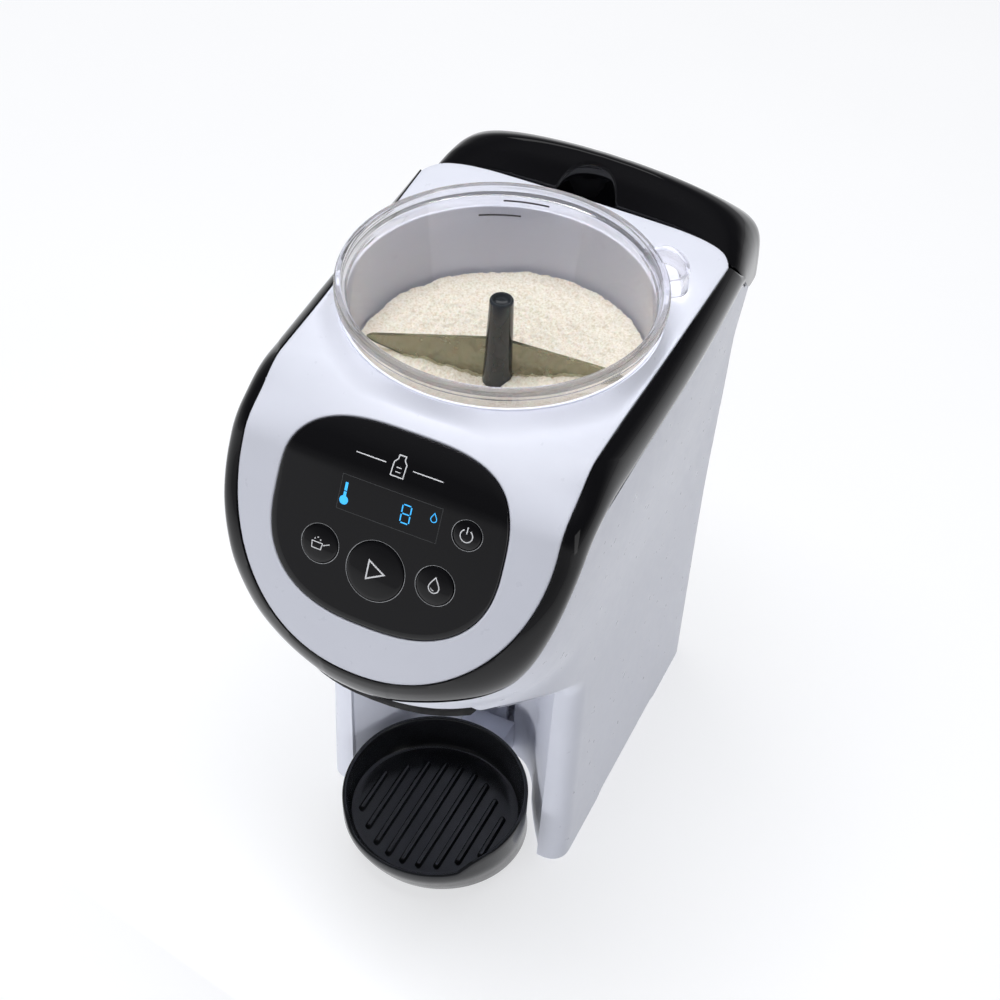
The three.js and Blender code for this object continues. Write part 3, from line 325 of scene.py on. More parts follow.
class Nodes:
    """The node tree of a material or of the world, with short calls for the nodes used here."""

    def __init__(self, name, owner=None, output="Material", shader="BsdfPrincipled"):
        self.material = owner or bpy.data.materials.new(name)
        self.material.use_nodes = True
        self.tree = self.material.node_tree
        self.tree.nodes.clear()
        self.output = self.add("ShaderNodeOutput" + output)
        self.shader = self.add("ShaderNode" + shader)
        self.link(self.shader, 0, self.output, "Surface")
        self.where = self.add("ShaderNodeTexCoord")

    def add(self, kind, **values):
        node = self.tree.nodes.new(kind)
        for key, value in values.items():
            if hasattr(node, key):
                setattr(node, key, value)
            else:
                node.inputs[key.replace("_", " ")].default_value = value
        return node

    def link(self, source, output, target, socket):
        self.tree.links.new(source.outputs[output], target.inputs[socket])

    def noise(self, scale, detail=2.0):
        node = self.add("ShaderNodeTexNoise", Scale=scale, Detail=detail)
        self.link(self.where, "Object", node, "Vector")
        return node

    def spread(self, source, output, low, high, socket="Roughness", edges=(0.3, 0.7)):
        """Takes a value to the shader's socket, mapped to the range low to high."""
        node = self.add("ShaderNodeMapRange")
        for key, value in zip(("From Min", "From Max", "To Min", "To Max"), (*edges, low, high)):
            node.inputs[key].default_value = value
        self.link(source, output, node, "Value")
        self.link(node, "Result", self.shader, socket)

    def ramp(self, source, output, stops):
        node = self.add("ShaderNodeValToRGB")
        ramp = node.color_ramp
        while len(ramp.elements) < len(stops):
            ramp.elements.new(0.5)
        for element, (place, colour) in zip(ramp.elements, stops):
            element.position = place
            element.color = (*colour, 1)
        self.link(source, output, node, "Fac")
        return node

    def tint(self, source, output, stops):
        self.link(self.ramp(source, output, stops), "Color", self.shader, "Base Color")

    def bump(self, source, output, strength, distance):
        node = self.add("ShaderNodeBump", Strength=strength, Distance=distance)
        self.link(source, output, node, "Height")
        self.link(node, "Normal", self.shader, "Normal")

    def set(self, **values):
        for key, value in values.items():
            self.shader.inputs[key.replace("_", " ")].default_value = value


def shade(colour, by):
    return tuple(c * by for c in colour)


def moulded(name, colour, rough, mottle=0.03, scale=60, grain=900, bump=0.06, depth=0.00005, **values):
    """Moulded plastic, rubber or metal: slow colour drift, uneven gloss and a fine skin."""
    n = Nodes(name)
    dark, pale = shade(colour, 1 - mottle), shade(colour, 1 + mottle / 2)
    n.tint(n.noise(scale, 3), "Fac", [(0.35, dark), (0.65, pale)])
    n.spread(n.noise(scale * 3, 4), "Fac", rough * 0.85, rough * 1.2)
    if bump:
        n.bump(n.noise(grain, 0), "Fac", bump, depth)
    n.set(**values)
    return n.material


def glassy(name, colour, rough, ior, shadow_tint, thin):
    """Clear or tinted plastic that lets lamps through. thin is the share seen straight through."""
    n = Nodes(name)
    n.set(Base_Color=(*colour, 1), Transmission_Weight=1.0, IOR=ior)
    n.spread(n.noise(140, 3), "Fac", rough * 0.6, rough * 1.6)
    passing = n.add("ShaderNodeBsdfTransparent")
    passing.inputs["Color"].default_value = (*shadow_tint, 1)
    rays = n.add("ShaderNodeLightPath")
    mix = n.add("ShaderNodeMixShader")
    n.link(rays, "Is Shadow Ray", mix, 0)
    body = n.shader
    if thin:
        body = n.add("ShaderNodeMixShader")
        body.inputs[0].default_value = thin
        n.link(n.shader, 0, body, 1)
        n.link(passing, 0, body, 2)
    n.link(body, 0, mix, 1)
    n.link(passing, 0, mix, 2)
    n.link(mix, 0, n.output, "Surface")
    return n.material


def powdery(name):
    n = Nodes(name)
    tones = [(0.32, (0.58, 0.51, 0.41)), (0.5, (0.70, 0.655, 0.57)), (0.68, (0.76, 0.73, 0.67))]
    n.tint(n.noise(900, 8), "Fac", tones)
    n.bump(n.noise(1300, 7), "Fac", 0.7, 0.0006)
    n.set(Roughness=0.95, Specular_IOR_Level=0.1, Subsurface_Weight=0.15, Subsurface_Scale=0.002)
    return n.material


def brushed(name, colour, rough):
    n = Nodes(name)
    stretch = n.add("ShaderNodeMapping")
    stretch.inputs["Scale"].default_value = (1, 1, 14)
    n.link(n.where, "Object", stretch, "Vector")
    streaks = n.add("ShaderNodeTexNoise", Scale=260, Detail=4)
    n.link(stretch, "Vector", streaks, "Vector")
    n.tint(streaks, "Fac", [(0.3, shade(colour, 0.85)), (0.7, colour)])
    n.spread(streaks, "Fac", rough * 0.7, rough * 1.4)
    n.bump(streaks, "Fac", 0.1, 0.00005)
    n.set(Metallic=1.0)
    return n.material


def lit(name, colour, strength):
    n = Nodes(name)
    n.tint(n.noise(2500, 1), "Fac", [(0.3, shade(colour, 0.9)), (0.7, colour)])
    n.set(Roughness=0.3, Emission_Color=(*colour, 1), Emission_Strength=strength)
    return n.material


def printed_board(name):
    n = Nodes(name)
    greens = {"Color1": (0.02, 0.16, 0.07, 1), "Color2": (0.025, 0.2, 0.09, 1)}
    tracks = n.add("ShaderNodeTexBrick", Scale=160, **greens)
    tracks.inputs["Mortar"].default_value = (0.35, 0.22, 0.06, 1)
    tracks.inputs["Mortar Size"].default_value = 0.015
    n.link(n.where, "Object", tracks, "Vector")
    n.link(tracks, "Color", n.shader, "Base Color")
    n.bump(tracks, "Fac", 0.3, 0.0001)
    n.set(Roughness=0.4)
    return n.material


WHITE_TONE = (0.675, 0.697, 0.785)
GLOSS_TONE = (0.0035, 0.0035, 0.0045)
EVEN = {"mottle": 0.01, "bump": 0.02, "depth": 0.00003}
GLOSS = {"bump": 0.004, "grain": 300}
SLOTS = {
    "white_plastic": moulded("white_plastic", WHITE_TONE, 0.32, grain=130, **EVEN),
    "gloss_black_plastic": moulded("gloss_black_plastic", GLOSS_TONE, 0.05, IOR=1.42, **GLOSS),
    "satin_black_plastic": moulded(
        "satin_black_plastic", (0.01, 0.011, 0.013), 0.2, mottle=0.15, grain=420, bump=0.03, depth=0.00003
    ),
    "clear_plastic": glassy("clear_plastic", (0.985, 0.98, 0.99), 0.012, 1.5, (0.95, 0.945, 0.96), 0.2),
    "smoke_plastic": glassy("smoke_plastic", (0.10, 0.105, 0.11), 0.06, 1.48, (0.25, 0.26, 0.27), 0),
    "steel": brushed("steel", (0.62, 0.63, 0.65), 0.25),
    "aluminium": brushed("aluminium", (0.74, 0.75, 0.77), 0.4),
    "rubber": moulded("rubber", (0.022, 0.022, 0.024), 0.75, mottle=0.2, bump=0.2),
    "silicone": moulded(
        "silicone", (0.62, 0.64, 0.66), 0.5, Subsurface_Weight=0.2, Subsurface_Scale=0.003
    ),
    "grey_plastic": moulded("grey_plastic", (0.3, 0.31, 0.34), 0.42, bump=0.1),
    "circuit_board": printed_board("circuit_board"),
    "powder": powdery("powder"),
    "display_light": lit("display_light", (0.045, 0.42, 0.88), 0.75),
}
# materials of single pieces, on a slot's place
SHAFT = moulded(
    "shaft_smoke", (0.022, 0.026, 0.031), 0.16, 0.4, 90, bump=0.03, grain=300, Coat_Weight=0.3
)
BLADE = glassy("blade_smoke", (0.27, 0.26, 0.19), 0.18, 1.3, (0.4, 0.4, 0.34), 0)
PANEL = moulded("panel_gloss", GLOSS_TONE, 0.06, IOR=1.5, **GLOSS)
DRAWER = moulded("drawer_black", (0.005, 0.005, 0.006), 0.6, mottle=0.2, bump=0.03, grain=420, IOR=1.2)
# A copy of the white plastic made a tenth lighter, for the bay wall, the slot backing and the tray
# bracket: painted light that stands in for fill light in the shaded recess.
BAY_PAINTED_FILL_WHITE = moulded("bay_white_painted_fill", shade(WHITE_TONE, 1.1), 0.4, grain=240, **EVEN)
PRINT = moulded("panel_print", (0.74, 0.75, 0.78), 0.4, mottle=0.1, bump=0)
DIM = moulded("panel_line", (0.045, 0.046, 0.05), 0.4, mottle=0.1, bump=0)
MARK = moulded("level_mark", (0.035, 0.03, 0.04), 0.4, mottle=0.2, bump=0)

# ---- meshes


WELD, SLIVER = 0.000012, 0.000004


def full_turn(count):
    return [2 * pi * i / count for i in range(count)]


class Skin:
    """Grids of points in millimetres, made into one smooth mesh."""

    def __init__(self):
        self.points, self.faces = [], []

    def grid(self, rows, wrap=False, mirror=False):
        base, width = len(self.points), len(rows[0])
        hand = -1 if mirror else 1
        self.points += [(hand * p[0], p[1], p[2]) for row in rows for p in row]
        for r in range(len(rows) - 1):
            for c in range(width if wrap else width - 1):
                a, b = base + r * width + c, base + r * width + (c + 1) % width
                self.faces.append((a, b, b + width, a + width))

    def both(self, rows):
        self.grid(rows)
        self.grid(rows, mirror=True)

    def lathe(self, profile, centre=(0, 0), count=96, place=None):
        """Turns a profile of (radius, height) about an upright axis, or about a frame's own."""
        rows = []
        for r, z in profile:
            ring = [(r * cos(a), r * sin(a)) for a in full_turn(count)]
            rows.append([place(x, y, z) if place else (x + centre[0], y + centre[1], z) for x, y in ring])
        self.grid(rows, wrap=True)

    def caps(self, rings, inner=()):
        """Closes rings with fans to their middles, through rings at shares of the radius."""
        for ring in rings:
            centre = np.mean(ring, axis=0)
            rows = [[tuple(lerp(centre, np.array(p), t)) for p in ring] for t in (*inner, 0)]
            self.grid([ring, *rows], wrap=True)

    def mesh(self, name, inside=None):
        mesh = bpy.data.meshes.new(name)
        mesh.from_pydata([tuple(0.001 * c for c in p) for p in self.points], [], self.faces)
        work = bmesh.new()
        work.from_mesh(mesh)
        bmesh.ops.remove_doubles(work, verts=work.verts, dist=WELD)
        bmesh.ops.dissolve_degenerate(work, dist=SLIVER, edges=work.edges)
        bmesh.ops.recalc_face_normals(work, faces=work.faces)
        if inside:
            turn_outwards(work, Vector(inside) * 0.001)
        work.to_mesh(mesh)
        work.free()
        return mesh

    def make(self, name, body, slot, replaces=(), inside=None, thick=0.0, sharp=32, material=None):
        """The finished piece. inside is a point that an open skin's faces look away from."""
        piece = added(name, self.mesh(name, inside))
        if thick:
            wall = piece.modifiers.new("wall", "SOLIDIFY")
            wall.thickness = 0.001 * thick
            wall.offset = -1
            apply(piece)
        smooth(piece, sharp)
        piece.data.materials.append(material or SLOTS[slot])
        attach(piece, body)
        if replaces:
            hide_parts(*replaces)
        return piece


def turn_outwards(work, centre):
    """Flips each island of an open skin that looks towards the centre."""
    left = set(work.faces)
    while left:
        island, edge_of = [], [left.pop()]
        while edge_of:
            face = edge_of.pop()
            island.append(face)
            for edge in face.edges:
                for other in edge.link_faces:
                    if other in left:
                        left.remove(other)
                        edge_of.append(other)
        side = sum(f.normal.dot(f.calc_center_median() - centre) * f.calc_area() for f in island)
        if side < 0:
            bmesh.ops.reverse_faces(work, faces=island)


def apply(piece):
    """Replaces the mesh by what its modifiers make of it."""
    graph = bpy.context.evaluated_depsgraph_get()
    made = bpy.data.meshes.new_from_object(piece.evaluated_get(graph))
    piece.modifiers.clear()
    old, piece.data = piece.data, made
    bpy.data.meshes.remove(old)


def smooth(piece, sharp):
    mesh = piece.data
    mesh.polygons.foreach_set("use_smooth", [True] * len(mesh.polygons))
    mesh.set_sharp_from_angle(angle=radians(sharp))


def bore(piece, radius, low, high, **where):
    """Cuts a round hole out of a piece; where is the lathe's centre, count or place."""
    drill = Skin()
    drill.lathe([(0, low), (radius, low), (radius, high), (0, high)], **where)
    tool = added("cutter", drill.mesh("cutter"))
    cut = piece.modifiers.new("cut", "BOOLEAN")
    cut.operation = "DIFFERENCE"
    cut.solver = "EXACT"
    cut.object = tool
    apply(piece)
    bpy.data.objects.remove(tool)
    smooth(piece, 32)


# ---- white housing

NOTCH_ENDS, NOTCH_Z = (34.5, 37.3), 187.6
FREE_END = 3.02


def arch_z(y):
    """How far the foot's shallow arch lifts the lower edge of the side."""
    return 2.5 * clamp((y - 13) / 4) * clamp((92 - y) / 4)


def skirt_bottom(q):
    along = (90 * abs(q) - NOTCH_ENDS[0]) / (NOTCH_ENDS[1] - NOTCH_ENDS[0])
    return lerp(NOTCH_Z, SKIRT_Z, clamp(along))


def body_steps(z):
    """Steps from the leg's rounding back to the rear edge."""
    start = step_at(LEG_EDGE(z) + LEG_ROUND(z), z)
    side = np.linspace(1.2, 2, 24)[1:]
    corner = np.linspace(2, 3, 10)[1:]
    return [*np.linspace(start, 1.2, 40), *side, *corner, FREE_END]


def leg_profile(z):
    """The leg's front in plan, from its inner face round to the outer wall."""
    edge, reach = LEG_EDGE(z), LEG_ROUND(z)
    outer = body_outer(step_at(edge + reach, z), z)[0]
    inner = min(lerp(54, 57, min(z / 137, 1)), outer - 3)
    flat = inner + 0.9 + 0.18 * (outer - inner)
    points = [(57, edge + 18), (lerp(inner, 57, 0.4), edge + 10), (inner, edge + 3)]
    points += [(inner, edge + 0.9), (inner + 0.25, edge + 0.25)]
    for k in range(13):
        angle = radians(90 - 7.5 * k)
        bend = lerp(flat, outer, rounded(cos(angle), 2.3))
        points.append((bend, edge + reach - reach * rounded(sin(angle), 2.3)))
    return points[:-1]


def body_skin():
    skin = Skin()
    heights = [0.8, 1.6, 3, 5, 9, 15, *np.linspace(22, 130, 12), *np.linspace(134, SKIRT_Z, 25)]
    legs = []
    for z in heights:
        row = [(x, y, z) for x, y in leg_profile(z)]
        for q in body_steps(z):
            lift = arch_z(body_outer(q, z)[1]) * max(0, 1 - z / 20)
            row.append(body_point(q, z + lift))
        legs.append(row)
    skin.both(legs)
    join = body_steps(SKIRT_Z)[0]
    front = sorted([*np.linspace(0, join, 30)[:-1], *(angle / 90 for angle in NOTCH_ENDS)])
    half = [(q, skirt_bottom(q) + 0.9) for q in front] + [(q, SKIRT_Z) for q in body_steps(SKIRT_Z)]
    columns = [(-q, z) for q, z in reversed(half[1:])] + half
    shares = np.linspace(0, 1, 22)
    skin.grid(
        [[body_point(q, lerp(low, body_top(abs(q)) - 0.8, t)) for q, low in columns] for t in shares]
    )
    lip = [(3, 5), (3, 0.9), (2.3, 0), (0.9, 0), (0.25, 0.25), (0, 0.9)]
    edge = [-q for q in reversed(front[1:])] + front
    skin.grid([[body_point(q, skirt_bottom(q) + up, inset) for q in edge] for inset, up in lip])
    look = {"inside": (0, 30, 150), "thick": 1.6, "sharp": 40}
    skin.make("body_skin", "housing", "white_plastic", ["body_shell"], **look)


BAY = Curve([
    (0, 56.5, -38), (0.19, 46, -22.5), (0.39, 37, -7), (0.57, 31, 6), (0.77, 20, 17.5), (1, 0, 23)
])
SLOT_SIDES = (7.4, 12.6)


def bay_skin():
    half = [tuple(BAY(t)) for t in np.linspace(0, 1, 41)]
    curve = [(-x, y) for x, y in half] + half[-2::-1]
    skin = Skin()
    xs = sorted({hand * x for hand in (-1, 1) for x in SLOT_SIDES} | {round(x, 4) for x, _ in curve})
    ys = np.interp(xs, [p[0] for p in curve], [p[1] for p in curve])
    back = list(zip(xs, ys))
    for z0, z1, holes in ((0.8, 10, False), (10, 96, True), (96, 183.4, False)):
        rows = []
        for z in np.linspace(z0, z1, 9):
            start = LEG_EDGE(z) + 2 + max(0, z - 170)
            arm = [(57.05, y) for y in np.linspace(min(start, -40), -40, 6)]
            row = [(-x, y) for x, y in arm] + back + [(x, y) for x, y in reversed(arm)]
            rows.append([(x, max(y, start), z) for x, y in row])
        if not holes:
            skin.grid(rows)
            continue
        a, b, c, d = (i for i, p in enumerate(rows[0]) if round(abs(p[0]), 4) in SLOT_SIDES)
        for first, last in ((0, a), (b, c), (d, len(rows[0]) - 1)):
            skin.grid([row[first : last + 1] for row in rows])
    # the bay wall takes the lighter white, painted light for the shaded recess
    look = {"thick": 2, "sharp": 50, "material": BAY_PAINTED_FILL_WHITE}
    skin.make("bay_skin", "housing", "white_plastic", ["bay_wall"], inside=(0, 200, 90), **look)


BACKING_Y = 29.3


def slot_backing():
    """A plain wall behind the slots, clear of the tray's hooks."""
    skin = Skin()
    skin.grid([[(x, BACKING_Y, z) for x in np.linspace(-26, 26, 14)] for z in np.linspace(8, 100, 24)])
    # the backing takes the lighter white, painted light for the shaded slots
    look = {"inside": (0, 60, 50), "thick": 1, "material": BAY_PAINTED_FILL_WHITE}
    skin.make("slot_backing", "housing", "white_plastic", **look)


# ---- face, band and panel

COLLAR_R, COLLAR_Z = 74.6, 324.9
DIVIDE_Y = -80.5
LID_LINE = Curve([
    (0, 94.2), (46, 93.8), (58, 92.9), (68, 90.8), (74, 88), (78, 83.5), (80.5, 79), (90, 79)
])


def rolled(distance, width, depth):
    """How far a rounded edge has fallen at a distance from the edge."""
    return depth * max(0, 1 - distance / width) ** 2


def shares(length, count, inner=0.0, outer=0.8, ease=1.0):
    """Fractions along a ray, with close rows at its two rounded ends."""
    start = [0, 0.3 * inner / length, 0.65 * inner / length] if inner else []
    end = [1 - outer / length * f for f in (0.6, 0.3, 0.1, 0)]
    first, last = inner / length, 1 - outer / length
    return [*start, *(lerp(first, last, (k / count) ** ease) for k in range(count + 1)), *end]


def station(line, low, high):
    """Where the face's outline crosses a line given as y by x."""
    for _ in range(40):
        p = (low + high) / 2
        s, width = face_edge(p)
        low, high = (p, high) if face_point(s, width)[1] < line(width) else (low, p)
    return low


CORNER = station(lambda x: LID_LINE(x) - GAP, 19, LAST)


def face_skin():
    skin = Skin()
    divide = station(lambda x: DIVIDE_Y, 10, 20)
    width = face_edge(divide)[1]
    across = np.linspace(width, -width, 90)
    # round the collar
    side = [face_point(s, w)[:2] for s, w in map(face_edge, np.linspace(divide, CORNER, 90))]
    corner = face_edge(CORNER)[1]
    rear = [(x, LID_LINE(abs(x)) - GAP) for x in np.linspace(corner, -corner, 110)[1:-1]]
    outline = [(*p, True) for p in side + rear + [(-x, y) for x, y in reversed(side)]]
    outline += [(x, DIVIDE_Y, False) for x in across[::-1][1:-1]]
    rays = []
    for x, y, free in outline:
        reach = hypot(x, y)
        length = reach - COLLAR_R
        foot = min(10.0, 0.85 * length)
        ray = []
        for t in shares(length, 18, ease=1.3):
            d = t * length
            px, py = (c * (COLLAR_R + d) / reach for c in (x, y))
            z = face_point(face_s(px, py), px)[2]
            z += (COLLAR_Z - z) * max(0, 1 - d / foot) ** 2
            ray.append((px, py, z - (rolled(length - d, 0.8, 0.6) if free else 0)))
        rays.append(ray)
    skin.grid([*rays, rays[0]])
    # round the panel
    middle, half, lift = PANEL_MIDDLE, PANEL_HALF + GAP, PANEL_LIFT + GAP
    ends = [(x, face_s(x, DIVIDE_Y), False) for x in across]
    lower = [face_edge(p)[::-1] for p in np.linspace(divide, 0, 130)]
    ends += [(-w, s, True) for w, s in lower[1:]] + [(w, s, True) for w, s in lower[-2:0:-1]]
    rays = []
    for x, s, free in ends:
        power = PANEL_LOW if s < middle else PANEL_HIGH
        k = ((abs(x) / half) ** power + (abs(s - middle) / lift) ** power) ** (-1 / power)
        inner = np.array([k * x, middle + k * (s - middle)])
        outer = np.array([x, s])
        length = float(norm(outer - inner))
        ray = []
        for t in shares(length, 22, inner=0.9):
            px, ps = lerp(inner, outer, t)
            drop = rolled(t * length, 0.9, 0.7) + (rolled((1 - t) * length, 0.8, 0.6) if free else 0)
            ray.append(face_point(ps, px, drop))
        rays.append(ray)
    skin.grid([*rays, rays[0]])
    look = {"inside": (0, 60, 150), "thick": 1.8, "sharp": 45}
    skin.make("face_skin", "housing", "white_plastic", ["fascia"], **look)


def band_section(p):
    s, width = face_edge(p)
    q = EDGE_STEP(p)
    top = body_top(q)
    edge = np.array(face_point(max(s - (GAP if p < 1 else 0), 0), width + GAP))
    inward = np.array(face_point(s, width + GAP, 4))
    fall = np.array([0, 0, 9 * max(0, (p - CORNER) / (LAST - CORNER))])
    edge, inward = edge - fall, inward - fall
    low = np.array(body_point(q, top, -0.3))
    low_in = np.array(body_point(q, top, 4))
    outward, up = unit(low - low_in), unit(edge - inward)
    across = low - edge
    swell = outward + up
    swell = unit(swell - across * swell.dot(across) / across.dot(across))
    crest = (edge + low) / 2 + 7 * swell
    points = [inward, lerp(inward, edge, 0.5), edge - 0.35 * up]
    for t in np.linspace(0.02, 0.98, 15):
        points.append((1 - t) ** 2 * edge + 2 * t * (1 - t) * crest + t * t * low)
    points += [low - 0.3 * outward, lerp(low, low_in, 0.5), low_in]
    points += [(edge + low) / 2 - 0.5 * swell]
    return [tuple(point) for point in points]


def band_skin():
    skin = Skin()
    half = [band_section(p) for p in np.linspace(0, LAST, 300)]
    half[0] = [(0, y, z) for _, y, z in half[0]]
    mirrored = [[(-x, y, z) for x, y, z in row] for row in reversed(half[1:])]
    rows = mirrored + half
    skin.grid(rows, wrap=True)
    skin.caps((rows[0], rows[-1]))
    skin.make("band_skin", "housing", "gloss_black_plastic", ["trim_band"], sharp=40)


def panel_skin():
    skin = Skin()
    rays = []
    for angle in full_turn(220):
        power = PANEL_LOW if sin(angle) < 0 else PANEL_HIGH
        x = PANEL_HALF * rounded(cos(angle), power)
        s = PANEL_MIDDLE + PANEL_LIFT * rounded(sin(angle), power)
        length = hypot(x, s - PANEL_MIDDLE)
        ray = []
        for t in shares(length, 20, outer=0.7):
            drop = rolled((1 - t) * length, 0.7, 0.5)
            ray.append(face_point(lerp(PANEL_MIDDLE, s, t), x * t, drop - 0.3))
        rays.append(ray)
    skin.grid([*rays, rays[0]])
    look = {"inside": (0, 60, 200), "thick": 1.5, "material": PANEL}
    panel = skin.make("panel_skin", "housing", "gloss_black_plastic", ["control_panel"], **look)
    for u, v, radius in BUTTONS.values():
        bore(panel, radius, -5, 5, count=72, place=button_frame(u, v))


DOME = 0.75


def button_skins():
    for name, (u, v, radius) in BUTTONS.items():
        cap = radius - GAP
        place = button_frame(u, v)
        dome = [(cap * t, DOME + DOME * (1 - t * t)) for t in np.linspace(0, 0.94, 12)]
        rim = [(cap - 0.25, 0.72), (cap - 0.06, 0.6), (cap, 0.35), (cap, -2.9)]
        back = [(radius + 1.2, -2.9), (radius + 1.2, -4), (2, -4), (2, -8.6), (0, -8.6)]
        skin = Skin()
        skin.lathe([*dome, *rim, *back], count=72, place=place)
        body = f"{name}_button_body"
        skin.make(f"{name}_cap", body, "gloss_black_plastic", [f"{name}_button"], sharp=30)
        ring = Skin()
        section = [(0.04, -0.2), (0.04, 0.14), (0.1, 0.18), (0.26, 0.18), (0.32, 0.14), (0.32, -0.2)]
        rows = []
        for grow, lift in [*section, section[0]]:
            r = radius + grow
            rows.append([on_panel(u + r * cos(a), v + r * sin(a), lift) for a in full_turn(96)])
        ring.grid(rows, wrap=True)
        ring.make(f"{name}_ring", "housing", "steel")


def stroke(skin, points, width, place, closed=False, lift=0.05, thick=0.09):
    """A thin raised line through points, laid on a surface."""
    pts = [np.array(p, float) for p in points]
    if closed:
        pts.append(pts[0])
    ways = [unit(b - a) for a, b in zip(pts, pts[1:])]
    before = [ways[-1] if closed else ways[0], *ways]
    after = [*ways, ways[0] if closed else ways[-1]]
    corners = []
    for here, first, second in zip(pts, before, after):
        n1, n2 = (np.array([-way[1], way[0]]) for way in (first, second))
        corners.append((here, (n1 + n2) / max(1 + n1.dot(n2), 0.3) * width / 2))
    low, high = lift - thick, lift
    rows = []
    for (a, side_a), (b, side_b) in zip(corners, corners[1:]):
        pieces = max(1, ceil(norm(b - a)))
        for k in range(pieces):
            here, side = (lerp(u, v, k / pieces) for u, v in ((a, b), (side_a, side_b)))
            rows.append((here, side))
    if not closed:
        rows.append(corners[-1])
    rows = [
        [place(*(here + hand * side), h) for hand, h in ((1, low), (1, high), (-1, high), (-1, low))]
        for here, side in rows
    ]
    if closed:
        rows.append(rows[0])
    skin.grid(rows, wrap=True)
    if not closed:
        for end in (rows[0], rows[-1]):
            skin.grid([[end[0], end[1]], [end[3], end[2]]])


def arc(u, v, radius, start, end, count=24):
    turns = [radians(lerp(start, end, i / count)) for i in range(count + 1)]
    return [(u + radius * cos(a), v + radius * sin(a)) for a in turns]


def disc_mark(skin, u, v, radius, place, count=32):
    rows = []
    turns = np.linspace(0, 2 * pi, count)
    for r, h in ((0.0, 0.05), (radius, 0.05), (radius, -0.04), (0.0, -0.04)):
        rows.append([place(u + r * cos(a), v + r * sin(a), h) for a in turns])
    skin.grid(rows)


# each button's strokes: points, width, whether closed
SYMBOLS = {
    "start": [([(-3.4, -4.4), (-3.4, 4.4), (4.6, 0)], 0.7, True)],
    "powder": [
        ([(-3.6, 0.6), (-3.2, -2.4), (1.2, -2.4), (1.6, 0.6)], 0.45, True),
        ([(1.9, -0.2), (4.9, 1.2)], 0.45, False),
    ],
    "volume": [
        ([(0, 4.2), (-1.9, 1.2), *arc(0, -0.6, 2.5, 150, 390, 20), (1.9, 1.2)], 0.5, True),
        (arc(0, -0.6, 1.4, 200, 280, 8), 0.35, False),
    ],
    "power": [(arc(0, 0, 2.9, 120, 420, 30), 0.5, False), ([(0, 0.9), (0, 4)], 0.5, False)],
}


def panel_marks():
    """Plain symbols in place of wording, and the lit display."""
    prints = Skin()
    # a bottle's outline with a line each side, where the name plate would be
    bottle = [(-3, 45), (3, 45), (3, 51), (1.6, 52.6), (1.6, 54.4), (-1.6, 54.4), (-1.6, 52.6), (-3, 51)]
    stroke(prints, bottle, 0.5, on_panel, closed=True)
    for v in (47, 49):
        stroke(prints, [(-1.2, v), (1.2, v)], 0.4, on_panel)
    for hand in (-1, 1):
        stroke(prints, [(hand * 6.5, 49.5), (hand * 21, 49.5)], 0.45, on_panel)
    prints.make("panel_symbols", "housing", "grey_plastic", material=PRINT)
    frame_line = Skin()
    corners = [(-24.2, 22), (24.2, 22), (24.2, 38.4), (-24.2, 38.4)]
    stroke(frame_line, corners, 0.28, on_panel, closed=True, lift=0.03)
    frame_line.make("display_frame", "housing", "grey_plastic", material=DIM)
    for name, (u, v, radius) in BUTTONS.items():
        flat = button_frame(u, v)
        cap = radius - GAP

        def on_cap(a, b, h, flat=flat, cap=cap):
            return flat(a, b, DOME + DOME * (1 - (a * a + b * b) / cap**2) + h)

        mark = Skin()
        for points, width, closed in SYMBOLS[name]:
            stroke(mark, points, width, on_cap, closed)
        if name == "powder":
            for a, b in ((-2.4, 2.0), (-1.0, 2.9), (0.4, 2.0)):
                disc_mark(mark, a, b, 0.34, on_cap, 14)
        mark.make(f"{name}_symbol", f"{name}_button_body", "grey_plastic", material=PRINT)
    lights = Skin()
    stroke(lights, [(-21.5, 28.2), (-21.5, 30.6)], 1.3, on_panel)
    stroke(lights, [(-21.5, 31.1), (-21.5, 35)], 1.3, on_panel)
    disc_mark(lights, -21.5, 26.6, 2.1, on_panel)
    digit = [(6, 26), (10.2, 26), (10.2, 30.2), (10.2, 34.4), (6, 34.4), (6, 30.2)]
    for a, b in ((0, 1), (1, 2), (2, 3), (3, 4), (4, 5), (5, 0), (2, 5)):
        first, last = np.array(digit[a]), np.array(digit[b])
        step = unit(last - first) * 0.45
        stroke(lights, [first + step, last - step], 0.55, on_panel)
    drop = [(21, 35.2), (19.8, 33.2), *arc(21, 32.4, 1.4, 150, 390, 12), (22.2, 33.2)]
    stroke(lights, drop, 0.35, on_panel, closed=True)
    lights.make("display_lights", "housing", "display_light")


# ---- powder container and stirrer


